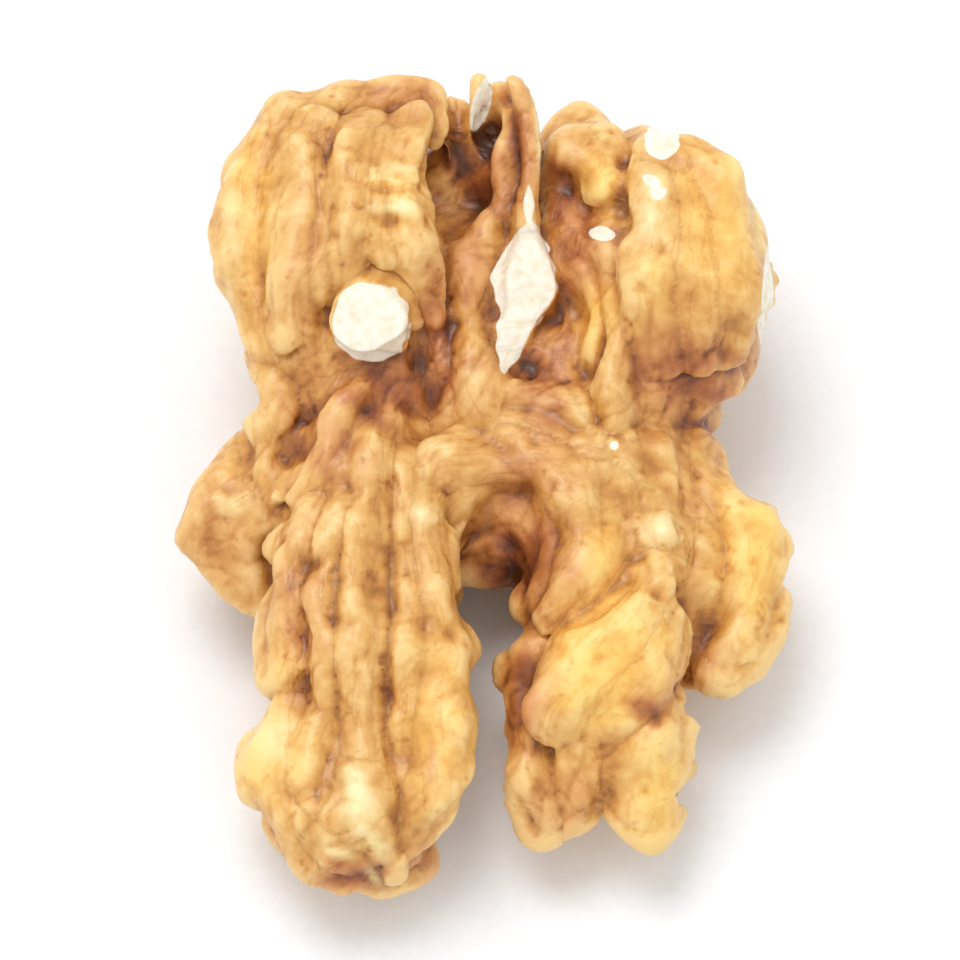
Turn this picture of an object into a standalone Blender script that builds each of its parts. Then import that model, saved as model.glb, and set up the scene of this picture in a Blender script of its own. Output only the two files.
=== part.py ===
"""Half of a walnut kernel, as picked out of its shell: one piece of nut meat.

It lies on its round outer side, with the folded inner face up and its two legs towards -Y.
The folds are round ridges along short paths. Their points are (across, up, height, radius) in millimetres:
across is +X, height is over the table, and up is measured square to a line of sight that comes from -Y and
looks down at SIGHT, because the folds were measured from there.
"""

import math

import bmesh
import bpy
import numpy as np
from mathutils import Matrix, Vector
from mathutils.geometry import intersect_ray_tri

# Driving dimensions, in millimetres until the finished mesh is scaled to metres
MM = 0.001
SIGHT = math.radians(65)
EYE_HEIGHT = 6.0  # height at which up is 0 over the origin
PATH_STEPS = 5  # points between two rows of a path
DOME_ANGLES = (0.5, 1.0, 1.35, 1.5)  # round the quarter circle that closes a ridge's end
CELL = 0.3  # cell of the grid in which the ridges are fused
TRIANGLES = 10400
FLAT_CUT = 0.15  # taken off the lowest points, so that they are small flats
CREASE_DEPTH = 0.8  # share of a crease's width
FOLD_DEPTH = 1.5  # of the winding folds on the round outer side
FOLD_PITCH = 3.9  # from one winding fold to the next
FOLD_ROUNDNESS = 0.55  # under 1 gives round ridges between narrow valleys
FOLD_LEVEL = 0.6  # share of the depth that lies under the smooth skin
FOLD_BEND = 0.8  # how far the winding folds are pushed aside
BEND_LENGTH = 9.0  # over which they are pushed one way and back
OUTER_SLOPE = (0.3, -0.2)  # the winding folds fade in as the skin turns down between these slopes
OUTER_HEIGHT = (11.0, 9.0)  # and as it gets lower between these heights
FOOT_EDGE = (1.2, 1.9)  # all relief fades out round the feet between these shares of a foot's radius
SWELLS = ((0.06, 1.7, 43), (0.1, 2.8, 41), (0.1, 5.2, 42))  # height, length and seed of the skin's swellings
SLENDER = (1.5, 3.5)  # they fade out round the radicle between these shares of its radius
WANDER = 0.2  # how far the folds wander from their measured paths
WANDER_LENGTH = 6.5
WANDER_SEEDS = (24, 25, 26)  # of the fields for X, Y and Z
BEND_SEEDS = (21, 22, 23)
VALLEY_SEED = 31
SOFTEN = 0.5  # share by which a point moves to the middle of its neighbours
EVEN_OUT = 0.3
STEEP = -0.9  # slope of a hull face that the kernel can lie on

# Masses of nut meat under the folds
CORES = {
    "upper_left": [
        (-5.4, 14.2, 8.6, 2.8), (-6.2, 11.5, 7.5, 3.9), (-6.1, 7.8, 6.2, 4.3), (-5.6, 3.5, 4.9, 4.1),
    ],
    "upper_right": [
        (7.8, 13.0, 8.3, 2.8), (8.4, 10.5, 7.3, 4.0), (8.0, 7.2, 6.3, 4.1), (6.6, 3.6, 5.0, 3.8),
    ],
    "middle": [(0.4, 13.6, 7.4, 2.2), (0.6, 10.0, 5.7, 3.6), (0.4, 5.5, 4.6, 4.1), (0.3, 2.4, 4.3, 3.6)],
    "pocket_floor": [
        (-1.3, 11.8, 7.5, 1.3), (-1.1, 13.8, 8.0, 1.4), (-0.8, 15.4, 8.6, 1.3),
        (-0.7, 16.5, 9.0, 1.0),
    ],
    "arch_saddle": [(0.6, 3.3, 7.0, 1.1), (2.3, 3.1, 7.1, 1.3), (4.3, 2.8, 7.2, 1.3)],
    "left_valley": [(-2.0, 12.6, 6.2, 2.4), (-2.4, 9.0, 5.6, 3.4), (-2.4, 5.0, 4.9, 3.6)],
    "right_valley": [
        (4.3, 13.8, 7.6, 2.2), (4.3, 10.5, 6.2, 2.9), (4.2, 7.0, 5.3, 3.5), (3.8, 4.0, 4.8, 3.6),
    ],
    "left_leg": [
        (-5.4, 0.0, 4.7, 4.1), (-5.3, -5.0, 4.3, 3.8), (-5.1, -10.0, 4.0, 3.4), (-5.5, -14.6, 3.8, 2.8),
    ],
    "right_leg": [
        (6.2, 0.5, 4.7, 3.9), (6.5, -4.0, 4.3, 3.5), (5.4, -8.5, 4.0, 3.0), (5.5, -12.4, 3.6, 2.4),
    ],
    "left_side": [(-8.0, 0.3, 4.4, 3.1), (-10.6, -2.2, 4.1, 2.5)],
    "right_side": [
        (8.3, -0.2, 4.6, 2.9), (10.7, -3.5, 4.1, 2.4), (10.4, -6.6, 3.6, 2.1),
        (10.1, -8.0, 3.4, 1.6),
    ],
}

# Folds of the inner face, from the tip end down to the legs
FOLDS = {
    "left_rim": [
        (-6.3, 17.3, 10.4, 1.0), (-8.5, 15.9, 10.2, 1.2), (-10.1, 13.3, 9.8, 1.3),
        (-10.5, 10.8, 9.4, 1.3), (-10.0, 8.4, 8.9, 1.2), (-9.5, 6.4, 8.4, 1.1),
    ],
    "left_second": [
        (-7.2, 16.0, 10.9, 0.9), (-8.2, 13.9, 11.0, 1.15), (-8.35, 11.4, 10.8, 1.25),
        (-8.1, 9.0, 10.3, 1.2), (-8.3, 6.9, 9.5, 1.1),
    ],
    "left_pit_floor": [(-9.4, 6.9, 8.0, 1.0), (-8.2, 6.0, 8.2, 1.1), (-7.0, 5.4, 7.8, 1.1)],
    "left_valley_ridge": [
        (-6.7, 15.9, 11.1, 0.65), (-7.0, 13.5, 11.4, 0.7), (-7.05, 11.0, 11.3, 0.7),
        (-7.0, 8.6, 10.6, 0.75),
    ],
    "left_broad_outer": [
        (-5.4, 15.7, 11.0, 1.1), (-5.75, 13.5, 11.4, 1.4), (-5.75, 11.0, 11.2, 1.4),
        (-5.9, 9.0, 10.3, 1.2),
    ],
    "left_broad_inner": [
        (-3.5, 15.6, 11.0, 1.2), (-3.6, 13.5, 11.35, 1.5), (-3.4, 11.0, 11.0, 1.5),
        (-2.9, 9.1, 9.8, 1.15), (-2.4, 7.4, 8.7, 0.8),
    ],
    "left_broad_middle": [
        (-4.5, 15.2, 11.2, 1.0), (-4.7, 12.5, 11.5, 1.2), (-4.6, 10.2, 11.1, 1.1),
    ],
    "left_top_roll": [
        (-5.8, 16.8, 10.2, 1.0), (-4.2, 17.1, 10.3, 1.0), (-2.7, 16.7, 10.2, 0.95),
        (-1.9, 15.5, 10.2, 0.8),
    ],
    "left_knob": [(-4.9, 7.5, 9.4, 1.7), (-4.9, 7.0, 10.1, 1.7)],
    "left_shoulder": [
        (-9.5, 5.5, 7.6, 1.0), (-8.9, 3.6, 7.4, 1.0), (-9.3, 1.8, 7.0, 0.9), (-9.2, 0.2, 6.6, 0.9),
    ],
    "left_side_lobe": [
        (-10.9, -1.3, 4.9, 1.8), (-11.9, -2.1, 4.6, 1.9), (-11.6, -3.1, 4.2, 1.6),
        (-10.1, -4.2, 4.0, 1.3),
    ],
    "left_waist": [(-5.6, 3.6, 8.3, 0.9), (-6.9, 1.4, 8.2, 0.9), (-8.2, -0.8, 7.2, 0.9)],
    "radicle": [
        (2.1, 11.5, 9.3, 0.8), (2.15, 13.3, 10.0, 0.48), (2.05, 15.3, 10.6, 0.42),
        (1.9, 17.1, 11.2, 0.4), (1.6, 18.1, 11.6, 0.36),
    ],
    "radicle_left": [
        (-0.6, 15.0, 9.1, 0.6), (-0.35, 16.2, 10.0, 0.45), (-0.05, 17.2, 10.7, 0.42),
        (0.4, 18.0, 11.2, 0.38),
    ],
    "radicle_web": [
        (0.6, 14.6, 8.6, 0.9), (0.7, 15.9, 9.1, 0.75), (0.9, 17.0, 9.8, 0.6),
        (1.0, 17.7, 10.3, 0.5),
    ],
    "radicle_flap": [
        (0.8, 11.9, 8.3, 1.3), (0.9, 13.6, 8.9, 1.1), (1.2, 15.4, 9.7, 0.8),
        (1.4, 16.6, 10.3, 0.55),
    ],
    "seed_leaf_joint": [
        (2.1, 10.8, 8.9, 0.8), (1.9, 8.8, 8.8, 1.3), (1.4, 6.8, 8.3, 0.8), (1.2, 5.3, 7.9, 0.6),
    ],
    "joint_ridge": [
        (0.2, 11.8, 8.8, 0.8), (-0.3, 10.2, 8.7, 0.85), (-0.6, 8.0, 8.4, 0.85),
        (-0.3, 5.8, 8.0, 0.8), (0.2, 3.8, 7.6, 0.8),
    ],
    "middle_ridge": [(1.2, 5.6, 7.8, 0.8), (0.5, 3.8, 7.7, 0.9), (0.4, 2.0, 7.5, 0.9)],
    "right_inner_top": [(4.0, 14.7, 8.9, 1.3), (5.0, 14.5, 9.4, 1.5), (5.9, 13.4, 9.9, 1.3)],
    "right_bulge": [
        (8.1, 14.6, 10.7, 1.5), (9.5, 13.6, 10.3, 1.9), (10.5, 11.0, 9.7, 2.2),
        (10.8, 8.4, 9.2, 2.2), (9.7, 6.4, 8.3, 1.8),
    ],
    "right_bulge_inner": [
        (7.6, 14.8, 10.3, 1.2), (7.6, 12.8, 10.8, 1.4), (7.8, 10.0, 10.7, 1.6),
        (7.9, 7.8, 10.1, 1.6), (8.1, 5.8, 9.1, 1.3),
    ],
    "right_bulge_crown": [
        (8.8, 13.8, 10.4, 1.5), (9.2, 11.0, 10.4, 1.8), (9.4, 8.3, 9.9, 1.8), (9.2, 6.2, 8.9, 1.5),
    ],
    "right_bulge_foot": [(9.8, 5.2, 7.0, 1.5), (9.0, 4.2, 6.8, 1.5), (8.0, 3.0, 6.6, 1.4)],
    "right_beads": [(4.4, 8.9, 8.5, 0.9), (5.0, 7.2, 8.6, 0.75), (4.8, 5.6, 8.2, 0.75)],
    "right_inner_ridge": [
        (6.2, 8.0, 9.4, 0.8), (6.5, 6.2, 9.3, 0.85), (6.0, 4.4, 8.7, 0.85), (6.2, 2.6, 8.2, 0.8),
    ],
    "right_waist": [(6.8, 1.6, 7.9, 0.9), (7.9, 0.9, 7.6, 0.95), (8.6, -0.4, 7.1, 0.8)],
    "right_pearl": [(7.9, -1.9, 6.9, 0.9), (8.0, -2.3, 7.3, 0.8)],
    "arch": [
        (-2.7, -1.0, 6.9, 1.3), (-1.6, 0.4, 7.1, 1.5), (0.5, 0.8, 7.0, 1.65), (2.7, 0.4, 7.0, 1.65),
        (4.3, -1.0, 7.0, 1.5), (5.0, -2.9, 7.0, 1.3), (4.6, -4.7, 6.9, 1.2), (3.7, -5.8, 6.6, 1.0),
    ],
    "arch_face": [
        (4.3, -0.4, 7.1, 1.2), (5.4, -2.0, 7.0, 1.25), (5.4, -3.6, 6.9, 1.25),
        (4.6, -5.2, 6.7, 1.1),
    ],
    "arch_shoulder": [(0.4, 2.1, 7.2, 0.9), (2.4, 2.1, 7.4, 1.0), (4.4, 1.2, 7.4, 1.0)],
    "arch_inner": [
        (-1.7, -1.9, 6.2, 1.2), (-0.9, -0.8, 6.2, 1.3), (0.6, -0.3, 6.1, 1.4),
        (2.4, -0.6, 6.1, 1.45), (3.6, -1.9, 6.0, 1.4), (3.9, -3.6, 5.9, 1.3), (3.4, -5.4, 5.6, 1.2),
    ],
    "arch_throat": [
        (-1.1, -2.2, 5.2, 1.2), (0.3, -1.6, 5.0, 1.7), (2.2, -1.9, 5.0, 1.8), (3.3, -3.4, 4.9, 1.6),
        (3.1, -5.4, 4.7, 1.35),
    ],
    "throat_floor": [
        (-0.4, -3.0, 4.2, 1.1), (0.8, -3.2, 4.0, 1.4), (2.2, -3.6, 4.1, 1.4), (3.2, -5.0, 4.0, 1.2),
    ],
    "leg_inner": [
        (-2.6, -0.2, 7.3, 1.1), (-2.5, -3.0, 7.2, 1.2), (-2.3, -6.0, 6.9, 1.3),
        (-1.8, -9.0, 6.3, 1.5), (-2.0, -12.0, 5.6, 1.7), (-2.6, -14.3, 4.9, 1.65),
        (-3.4, -15.8, 3.9, 1.4),
    ],
    "leg_inner_second": [
        (-3.5, 0.6, 7.7, 0.9), (-3.6, -3.0, 7.5, 1.0), (-3.5, -6.5, 7.1, 1.05),
        (-3.2, -10.0, 6.4, 1.1), (-3.5, -13.0, 5.6, 1.0),
    ],
    "leg_middle": [
        (-4.9, 1.4, 8.4, 0.6), (-5.25, -2.0, 8.4, 0.65), (-5.3, -5.5, 8.0, 0.7),
        (-5.25, -9.0, 7.25, 0.7), (-5.3, -12.0, 6.35, 0.7),
    ],
    "leg_thread": [
        (-4.3, 1.0, 8.2, 0.55), (-4.5, -2.0, 8.1, 0.55), (-4.6, -5.5, 7.7, 0.6),
        (-4.5, -9.0, 6.9, 0.65), (-4.5, -12.3, 6.0, 0.65),
    ],
    "leg_narrow": [
        (-6.0, -1.2, 8.1, 0.7), (-6.7, -4.5, 7.7, 0.75), (-6.6, -8.0, 7.0, 0.8),
        (-6.8, -11.0, 6.3, 0.85), (-7.2, -13.2, 5.7, 0.85),
    ],
    "leg_outer": [
        (-7.2, -1.6, 7.3, 0.9), (-8.0, -3.6, 6.8, 1.1), (-8.5, -6.0, 6.2, 1.3), (-8.4, -8.6, 5.8, 1.3),
    ],
    "leg_bulb": [
        (-8.4, -10.6, 5.2, 1.35), (-8.7, -12.2, 4.8, 1.5), (-8.5, -14.0, 4.3, 1.35),
        (-7.9, -15.6, 3.6, 1.25), (-7.1, -16.5, 3.0, 1.25),
    ],
    "leg_chip": [
        (-5.4, -13.1, 6.3, 0.75), (-5.1, -14.6, 5.8, 0.9), (-4.7, -15.8, 5.1, 0.75),
        (-4.0, -16.9, 4.2, 0.6),
    ],
    "left_toe": [(-6.9, -16.6, 2.9, 1.3), (-5.2, -16.8, 2.6, 1.35), (-3.6, -16.5, 2.9, 1.3)],
    "toe_lip": [
        (-7.2, -15.9, 4.4, 0.4), (-6.0, -16.1, 4.6, 0.4), (-5.1, -16.7, 4.2, 0.4),
        (-4.7, -17.2, 3.5, 0.3),
    ],
    "right_shield": [
        (7.8, -4.8, 6.8, 1.3), (6.6, -6.7, 6.7, 1.6), (4.7, -8.3, 6.3, 1.95),
        (3.6, -10.2, 5.8, 1.7),
    ],
    "right_shield_edge": [(8.0, -6.4, 6.3, 1.4), (7.0, -8.6, 6.1, 1.6), (5.2, -10.4, 5.6, 1.5)],
    "right_leg_flank": [
        (3.3, -5.8, 5.0, 1.1), (2.8, -7.4, 5.0, 1.1), (2.3, -9.2, 4.7, 1.15),
        (2.0, -11.2, 4.3, 1.05), (1.95, -12.8, 3.9, 0.95),
    ],
    "right_toe_left": [(2.0, -11.5, 4.6, 0.9), (2.1, -13.2, 3.9, 0.95), (2.8, -14.8, 2.8, 1.0)],
    "right_toe_middle": [(4.2, -12.2, 5.0, 1.2), (4.3, -13.6, 4.1, 1.2), (4.3, -14.7, 3.0, 1.1)],
    "right_toe": [
        (8.0, -9.9, 5.2, 1.0), (7.6, -11.6, 5.0, 1.25), (7.35, -13.0, 4.4, 1.4),
        (7.2, -14.3, 3.6, 1.45),
    ],
    "right_side_lobe": [
        (10.4, -0.3, 6.1, 1.3), (11.6, -1.6, 5.9, 1.4), (12.0, -3.8, 5.6, 1.4),
        (11.7, -5.9, 5.0, 1.4), (11.1, -7.4, 4.4, 1.35), (10.3, -8.6, 3.8, 1.4),
    ],
    "right_side_inner": [(10.0, -3.0, 5.9, 0.9), (9.9, -5.0, 5.4, 1.0), (9.3, -7.0, 4.7, 1.0)],
}

# Creases pressed into the skin; the fourth number is their width
CREASES = {
    "left_lobe": [
        (-5.7, 16.5, 11.6, 0.4), (-6.8, 14.5, 11.8, 0.3), (-7.2, 12.0, 11.6, 0.3),
        (-7.0, 9.5, 11.0, 0.35),
    ],
    "left_wrinkle_high": [(-4.6, 13.0, 12.6, 0.35), (-3.6, 12.8, 12.6, 0.4), (-2.6, 12.9, 12.2, 0.35)],
    "left_wrinkle_low": [(-4.6, 11.2, 12.4, 0.35), (-3.6, 11.0, 12.3, 0.4), (-2.4, 11.2, 11.8, 0.35)],
    "radicle_pocket": [(-1.3, 13.0, 8.7, 1.3), (-0.7, 14.4, 8.9, 1.4), (0.0, 15.8, 9.3, 1.1)],
    "right_lobe": [(6.3, 14.6, 10.8, 0.5), (6.3, 11.5, 10.6, 0.6), (6.2, 9.5, 10.2, 0.5)],
    "left_side": [(-7.5, 1.5, 8.4, 0.6), (-8.3, 0.0, 8.0, 0.6), (-9.0, -1.5, 7.2, 0.5)],
    "left_leg": [
        (-3.9, 0.0, 8.4, 0.3), (-4.1, -5.0, 8.0, 0.3), (-4.0, -10.0, 7.1, 0.3),
        (-3.7, -14.5, 5.7, 0.3),
    ],
    "leg_line": [
        (-5.6, 0.0, 8.4, 0.25), (-6.05, -4.0, 8.1, 0.3), (-6.0, -8.0, 7.3, 0.3),
        (-6.1, -11.5, 6.5, 0.3),
    ],
    "leg_bulb": [(-10.0, -9.6, 6.4, 0.4), (-8.6, -9.8, 7.0, 0.5), (-7.6, -10.2, 7.2, 0.4)],
    "arch_fold": [(0.8, 1.8, 8.8, 0.35), (0.8, 0.3, 8.8, 0.35)],
    "arch_end": [
        (6.6, -3.5, 8.2, 0.4), (6.0, -5.0, 8.2, 0.4), (4.5, -6.2, 8.0, 0.4), (3.6, -6.4, 7.4, 0.4),
    ],
    "right_toe": [(5.8, -11.6, 6.2, 0.5), (5.8, -14.0, 5.0, 0.5), (5.8, -16.2, 3.6, 0.5)],
    "right_side": [(10.8, -6.0, 6.4, 0.6), (9.5, -8.0, 5.8, 0.6), (8.3, -9.6, 5.4, 0.6)],
    "right_waist": [(9.3, 1.5, 8.0, 0.4), (9.2, -1.5, 7.4, 0.4)],
}

# Flat breaks in the meat, square to the line of sight: (across, up, height, radius)
BREAKS = [(-4.9, 7.0, 10.8, 1.75), (1.9, 8.9, 9.3, 1.5), (1.6, 6.8, 9.3, 1.1)]
BREAK_DEPTH = 0.9  # share of what stands over the plane that is pressed down
BREAK_EDGE = (1.3, 1.0)  # it begins and is full at these shares of the radius

# The middle line of the outer side, as (x, y, z, width)
SEAM = [(0.4, 1.0, 0.4, 0.7), (0.2, 6.0, 1.4, 0.8), (0.6, 11.0, 3.6, 0.8), (0.8, 14.5, 6.0, 0.7)]

# Folds of the outer side that it stands on, as (x, y, z, radius)
FEET = {
    "left": [(-7.2, -8.6, 1.6, 1.7), (-5.8, -7.2, 1.0, 1.7), (-4.6, -5.2, 1.5, 1.7)],
    "right": [(7.4, -6.8, 1.6, 1.7), (6.2, -5.8, 1.0, 1.7), (4.8, -4.2, 1.5, 1.7)],
    "tip_end": [(-2.6, 7.4, 1.7, 1.7), (0.4, 8.2, 1.0, 1.7), (3.2, 7.6, 1.7, 1.7)],
}


def in_space(row):
    """A point measured along the line of sight, as x, y, z and its radius."""
    across, up, height, radius = row
    y = (up - (height - EYE_HEIGHT) * math.cos(SIGHT)) / math.sin(SIGHT)
    return across, y, height, radius


def smooth_path(rows):
    """Points of the Catmull-Rom curve through the rows, whose first and last row count twice."""
    p = np.array([rows[0]] + list(rows) + [rows[-1]], float)
    t = np.linspace(0, 1, PATH_STEPS, endpoint=False)[:, None]
    spans = [
        0.5 * (2 * b + (c - a) * t + (2 * a - 5 * b + 4 * c - d) * t**2 + (3 * b - a - 3 * c + d) * t**3)
        for a, b, c, d in zip(p[:-3], p[1:-2], p[2:-1], p[3:])
    ]
    return np.vstack(spans + [p[-1:]])


def round_end(path):
    """Points past the last one whose radii follow a quarter circle, so that the ridge ends in a dome."""
    end, before = path[-1], path[-2]
    way = end[:3] - before[:3]
    way /= np.linalg.norm(way)
    return [np.append(end[:3] + way * end[3] * math.sin(a), end[3] * math.cos(a)) for a in DOME_ANGLES]


def ridge_tubes(name, paths):
    """One round tube with domed ends along each path."""
    curve = bpy.data.curves.new(name, "CURVE")
    curve.dimensions = "3D"
    curve.bevel_depth = 1
    curve.bevel_resolution = 4
    curve.use_fill_caps = True
    for path in paths:
        rows = round_end(path[::-1])[::-1] + list(path) + round_end(path)
        spline = curve.splines.new("POLY")
        spline.points.add(len(rows) - 1)
        for point, (x, y, z, radius) in zip(spline.points, rows):
            point.co = (x, y, z, 1)
            point.radius = radius
    return curve


def mesh_of(data, modifiers):
    """The mesh that the data and its modifiers make; each modifier is given as its type and settings."""
    obj = bpy.data.objects.new("work", data)
    bpy.context.scene.collection.objects.link(obj)
    for kind, settings in modifiers:
        modifier = obj.modifiers.new(kind.title(), kind)
        for key, value in settings.items():
            setattr(modifier, key, value)
    graph = bpy.context.evaluated_depsgraph_get()
    mesh = bpy.data.meshes.new_from_object(obj.evaluated_get(graph))
    bpy.data.objects.remove(obj)
    return mesh


def vectors(items, key):
    """One row of three numbers for each item."""
    values = np.empty(len(items) * 3, np.float32)
    items.foreach_get(key, values)
    return values.reshape(-1, 3).astype(float)


def waves(points, length, seed, count=16):
    """A random field of one wavelength: a sum of cosine waves in random directions, about -1 to 1."""
    draw = np.random.default_rng(seed)
    way = draw.normal(size=(count, 3))
    way *= 2 * math.pi / length / np.linalg.norm(way, axis=1)[:, None]
    start = draw.uniform(0, 2 * math.pi, count)
    return np.cos(points @ way.T + start).sum(1) / math.sqrt(count / 2)


def path_gap(points, path):
    """For each point, its distance to the path over the width of the path there."""
    least = np.full(len(points), np.inf)
    for a, b in zip(path[:-1], path[1:]):
        along = b[:3] - a[:3]
        t = np.clip((points - a[:3]) @ along / max(along @ along, 1e-9), 0, 1)
        gap = np.linalg.norm(points - a[:3] - t[:, None] * along, axis=1)
        least = np.minimum(least, gap / (a[3] + t * (b[3] - a[3])))
    return least


def fade(values, ends):
    """0 at the first of the two ends and 1 at the second, in a straight line between them."""
    return np.clip((values - ends[0]) / (ends[1] - ends[0]), 0, 1)


def clear_of_feet(points):
    """0 on the folds that it stands on, which keep their height, and 1 a little way off them."""
    share = np.ones(len(points))
    for rows in FEET.values():
        share *= fade(path_gap(points, smooth_path(rows)), FOOT_EDGE)
    return share


def winding_folds(points, slope):
    """Height of the folds of the outer side: round ridges between narrow valleys that wind about."""
    bent = points + FOLD_BEND * np.stack([waves(points, BEND_LENGTH, seed) for seed in BEND_SEEDS], 1)
    valley = np.abs(waves(bent, 2 * FOLD_PITCH, VALLEY_SEED))
    share = fade(slope, OUTER_SLOPE) * fade(points[:, 2], OUTER_HEIGHT)
    return share * FOLD_DEPTH * (np.minimum(valley, 1) ** FOLD_ROUNDNESS - FOLD_LEVEL)


def main_relief(points, normals):
    """Out for the folds of the outer side and small swellings, in for the creases."""
    lift = winding_folds(points, normals[:, 2])
    lift += sum(height * waves(points, length, seed) for height, length, seed in SWELLS)
    lift *= fade(path_gap(points, smooth_path([in_space(r) for r in FOLDS["radicle"]])), SLENDER)
    lift *= clear_of_feet(points)
    creases = [smooth_path([in_space(r) for r in rows]) for rows in CREASES.values()]
    for path in creases + [smooth_path(SEAM)]:
        lift -= CREASE_DEPTH * path[:, 3].mean() * np.exp(-path_gap(points, path) ** 2)
    return lift


def flatten_breaks(points):
    """Presses what stands over the plane of a break down to a small share of its height there."""
    sight = np.array([0, -math.cos(SIGHT), math.sin(SIGHT)])
    for across, up, height, size in BREAKS:
        middle = np.array(in_space((across, up, height, size))[:3])
        off = points - middle
        over = off @ sight
        aside = np.linalg.norm(off - over[:, None] * sight, axis=1) / size
        share = BREAK_DEPTH * fade(aside, BREAK_EDGE)
        points = points - (np.maximum(over, 0) * share)[:, None] * sight
    return points


def shape_skin(mesh):
    """Moves the skin along its normals, lets the folds wander off their paths and flattens the breaks."""
    points = vectors(mesh.vertices, "co")
    normals = vectors(mesh.vertices, "normal")
    points = points + normals * main_relief(points, normals)[:, None]
    wander = np.stack([waves(points, WANDER_LENGTH, seed) for seed in WANDER_SEEDS], 1)
    points = points + WANDER * clear_of_feet(points)[:, None] * wander
    points = flatten_breaks(points)
    mesh.vertices.foreach_set("co", points.astype(np.float32).ravel())
    mesh.update()


def drop_crumbs(shape):
    """Deletes all but the body with the most points."""
    left = set(shape.verts)
    bodies = []
    while left:
        body = set()
        edge_of_body = {left.pop()}
        while edge_of_body:
            body |= edge_of_body
            edge_of_body = {e.other_vert(v) for v in edge_of_body for e in v.link_edges} - body
        left -= body
        bodies.append(body)
    crumbs = sorted(bodies, key=len)[:-1]
    bmesh.ops.delete(shape, geom=[v for body in crumbs for v in body], context="VERTS")


def centre_of_weight(shape):
    """The middle of the body's volume, from the pyramids between the origin and its triangles."""
    corners = np.array([[v.co for v in f.verts] for f in shape.faces])
    volume = np.einsum("ij,ij->i", corners[:, 0], np.cross(corners[:, 1], corners[:, 2]))
    return Vector((corners.sum(1) / 4 * volume[:, None]).sum(0) / volume.sum())


def turn_to_rest(shape):
    """Turns the body until the face of its hull that lies under its weight is level."""
    weight = centre_of_weight(shape)
    hull = shape.copy()
    bmesh.ops.convex_hull(hull, input=hull.verts[:])
    hull.normal_update()
    down = Vector((0, 0, -1))
    below = [f for f in hull.faces if f.normal.z < STEEP]
    under_weight = [f for f in below if intersect_ray_tri(*[v.co for v in f.verts], down, weight, True)]
    turn = under_weight[0].normal.rotation_difference(down)
    hull.free()
    bmesh.ops.rotate(shape, verts=shape.verts[:], cent=weight, matrix=turn.to_matrix())


def set_down(mesh):
    """Lays the body at rest, cuts its three lowest points flat and moves the origin under its middle."""
    shape = bmesh.new()
    shape.from_mesh(mesh)
    drop_crumbs(shape)
    bmesh.ops.triangulate(shape, faces=shape.faces[:])
    turn_to_rest(shape)
    floor = min(v.co.z for v in shape.verts) + FLAT_CUT
    everything = shape.verts[:] + shape.edges[:] + shape.faces[:]
    level = {"plane_co": (0, 0, floor), "plane_no": (0, 0, -1)}
    bmesh.ops.bisect_plane(shape, geom=everything, clear_outer=True, **level)
    bmesh.ops.holes_fill(shape, edges=[e for e in shape.edges if e.is_boundary])
    bmesh.ops.triangulate(shape, faces=shape.faces[:])
    low = Vector([min(v.co[i] for v in shape.verts) for i in range(3)])
    high = Vector([max(v.co[i] for v in shape.verts) for i in range(3)])
    bottom_centre = Vector(((low.x + high.x) / 2, (low.y + high.y) / 2, low.z))
    bmesh.ops.translate(shape, verts=shape.verts, vec=-bottom_centre)
    shape.to_mesh(mesh)
    shape.free()


def kernel_mesh():
    """The ridges fused into one body, with its skin shaped, in few faces, and laid at rest."""
    measured = list(CORES.values()) + list(FOLDS.values())
    paths = [smooth_path([in_space(r) for r in rows]) for rows in measured]
    paths += [smooth_path(rows) for rows in FEET.values()]
    fuse = ("REMESH", {"mode": "VOXEL", "voxel_size": CELL})
    soften = ("SMOOTH", {"factor": SOFTEN, "iterations": 2})
    mesh = mesh_of(ridge_tubes("ridges", paths), [fuse, soften])
    shape_skin(mesh)
    even_out = ("SMOOTH", {"factor": EVEN_OUT, "iterations": 1})
    thin_out = ("DECIMATE", {"ratio": TRIANGLES / (2 * len(mesh.polygons))})
    mesh = mesh_of(mesh, [even_out, thin_out])
    set_down(mesh)
    mesh.transform(Matrix.Scale(MM, 4))
    mesh.shade_smooth()
    mesh.name = "kernel"
    return mesh


def skin_material():
    """Tan seed skin with a dull, slightly oily surface."""
    material = bpy.data.materials.new("kernel_skin")
    material.use_nodes = True
    surface = material.node_tree.nodes["Principled BSDF"]
    surface.inputs["Base Color"].default_value = (0.55, 0.31, 0.12, 1)
    surface.inputs["Roughness"].default_value = 0.5
    surface.inputs["Metallic"].default_value = 0.0
    return material


def main():
    for obj in list(bpy.data.objects):
        bpy.data.objects.remove(obj)
    kernel = bpy.data.objects.new("kernel", kernel_mesh())
    kernel.data.materials.append(skin_material())
    bpy.context.scene.collection.objects.link(kernel)


main()
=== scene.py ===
import math

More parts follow.
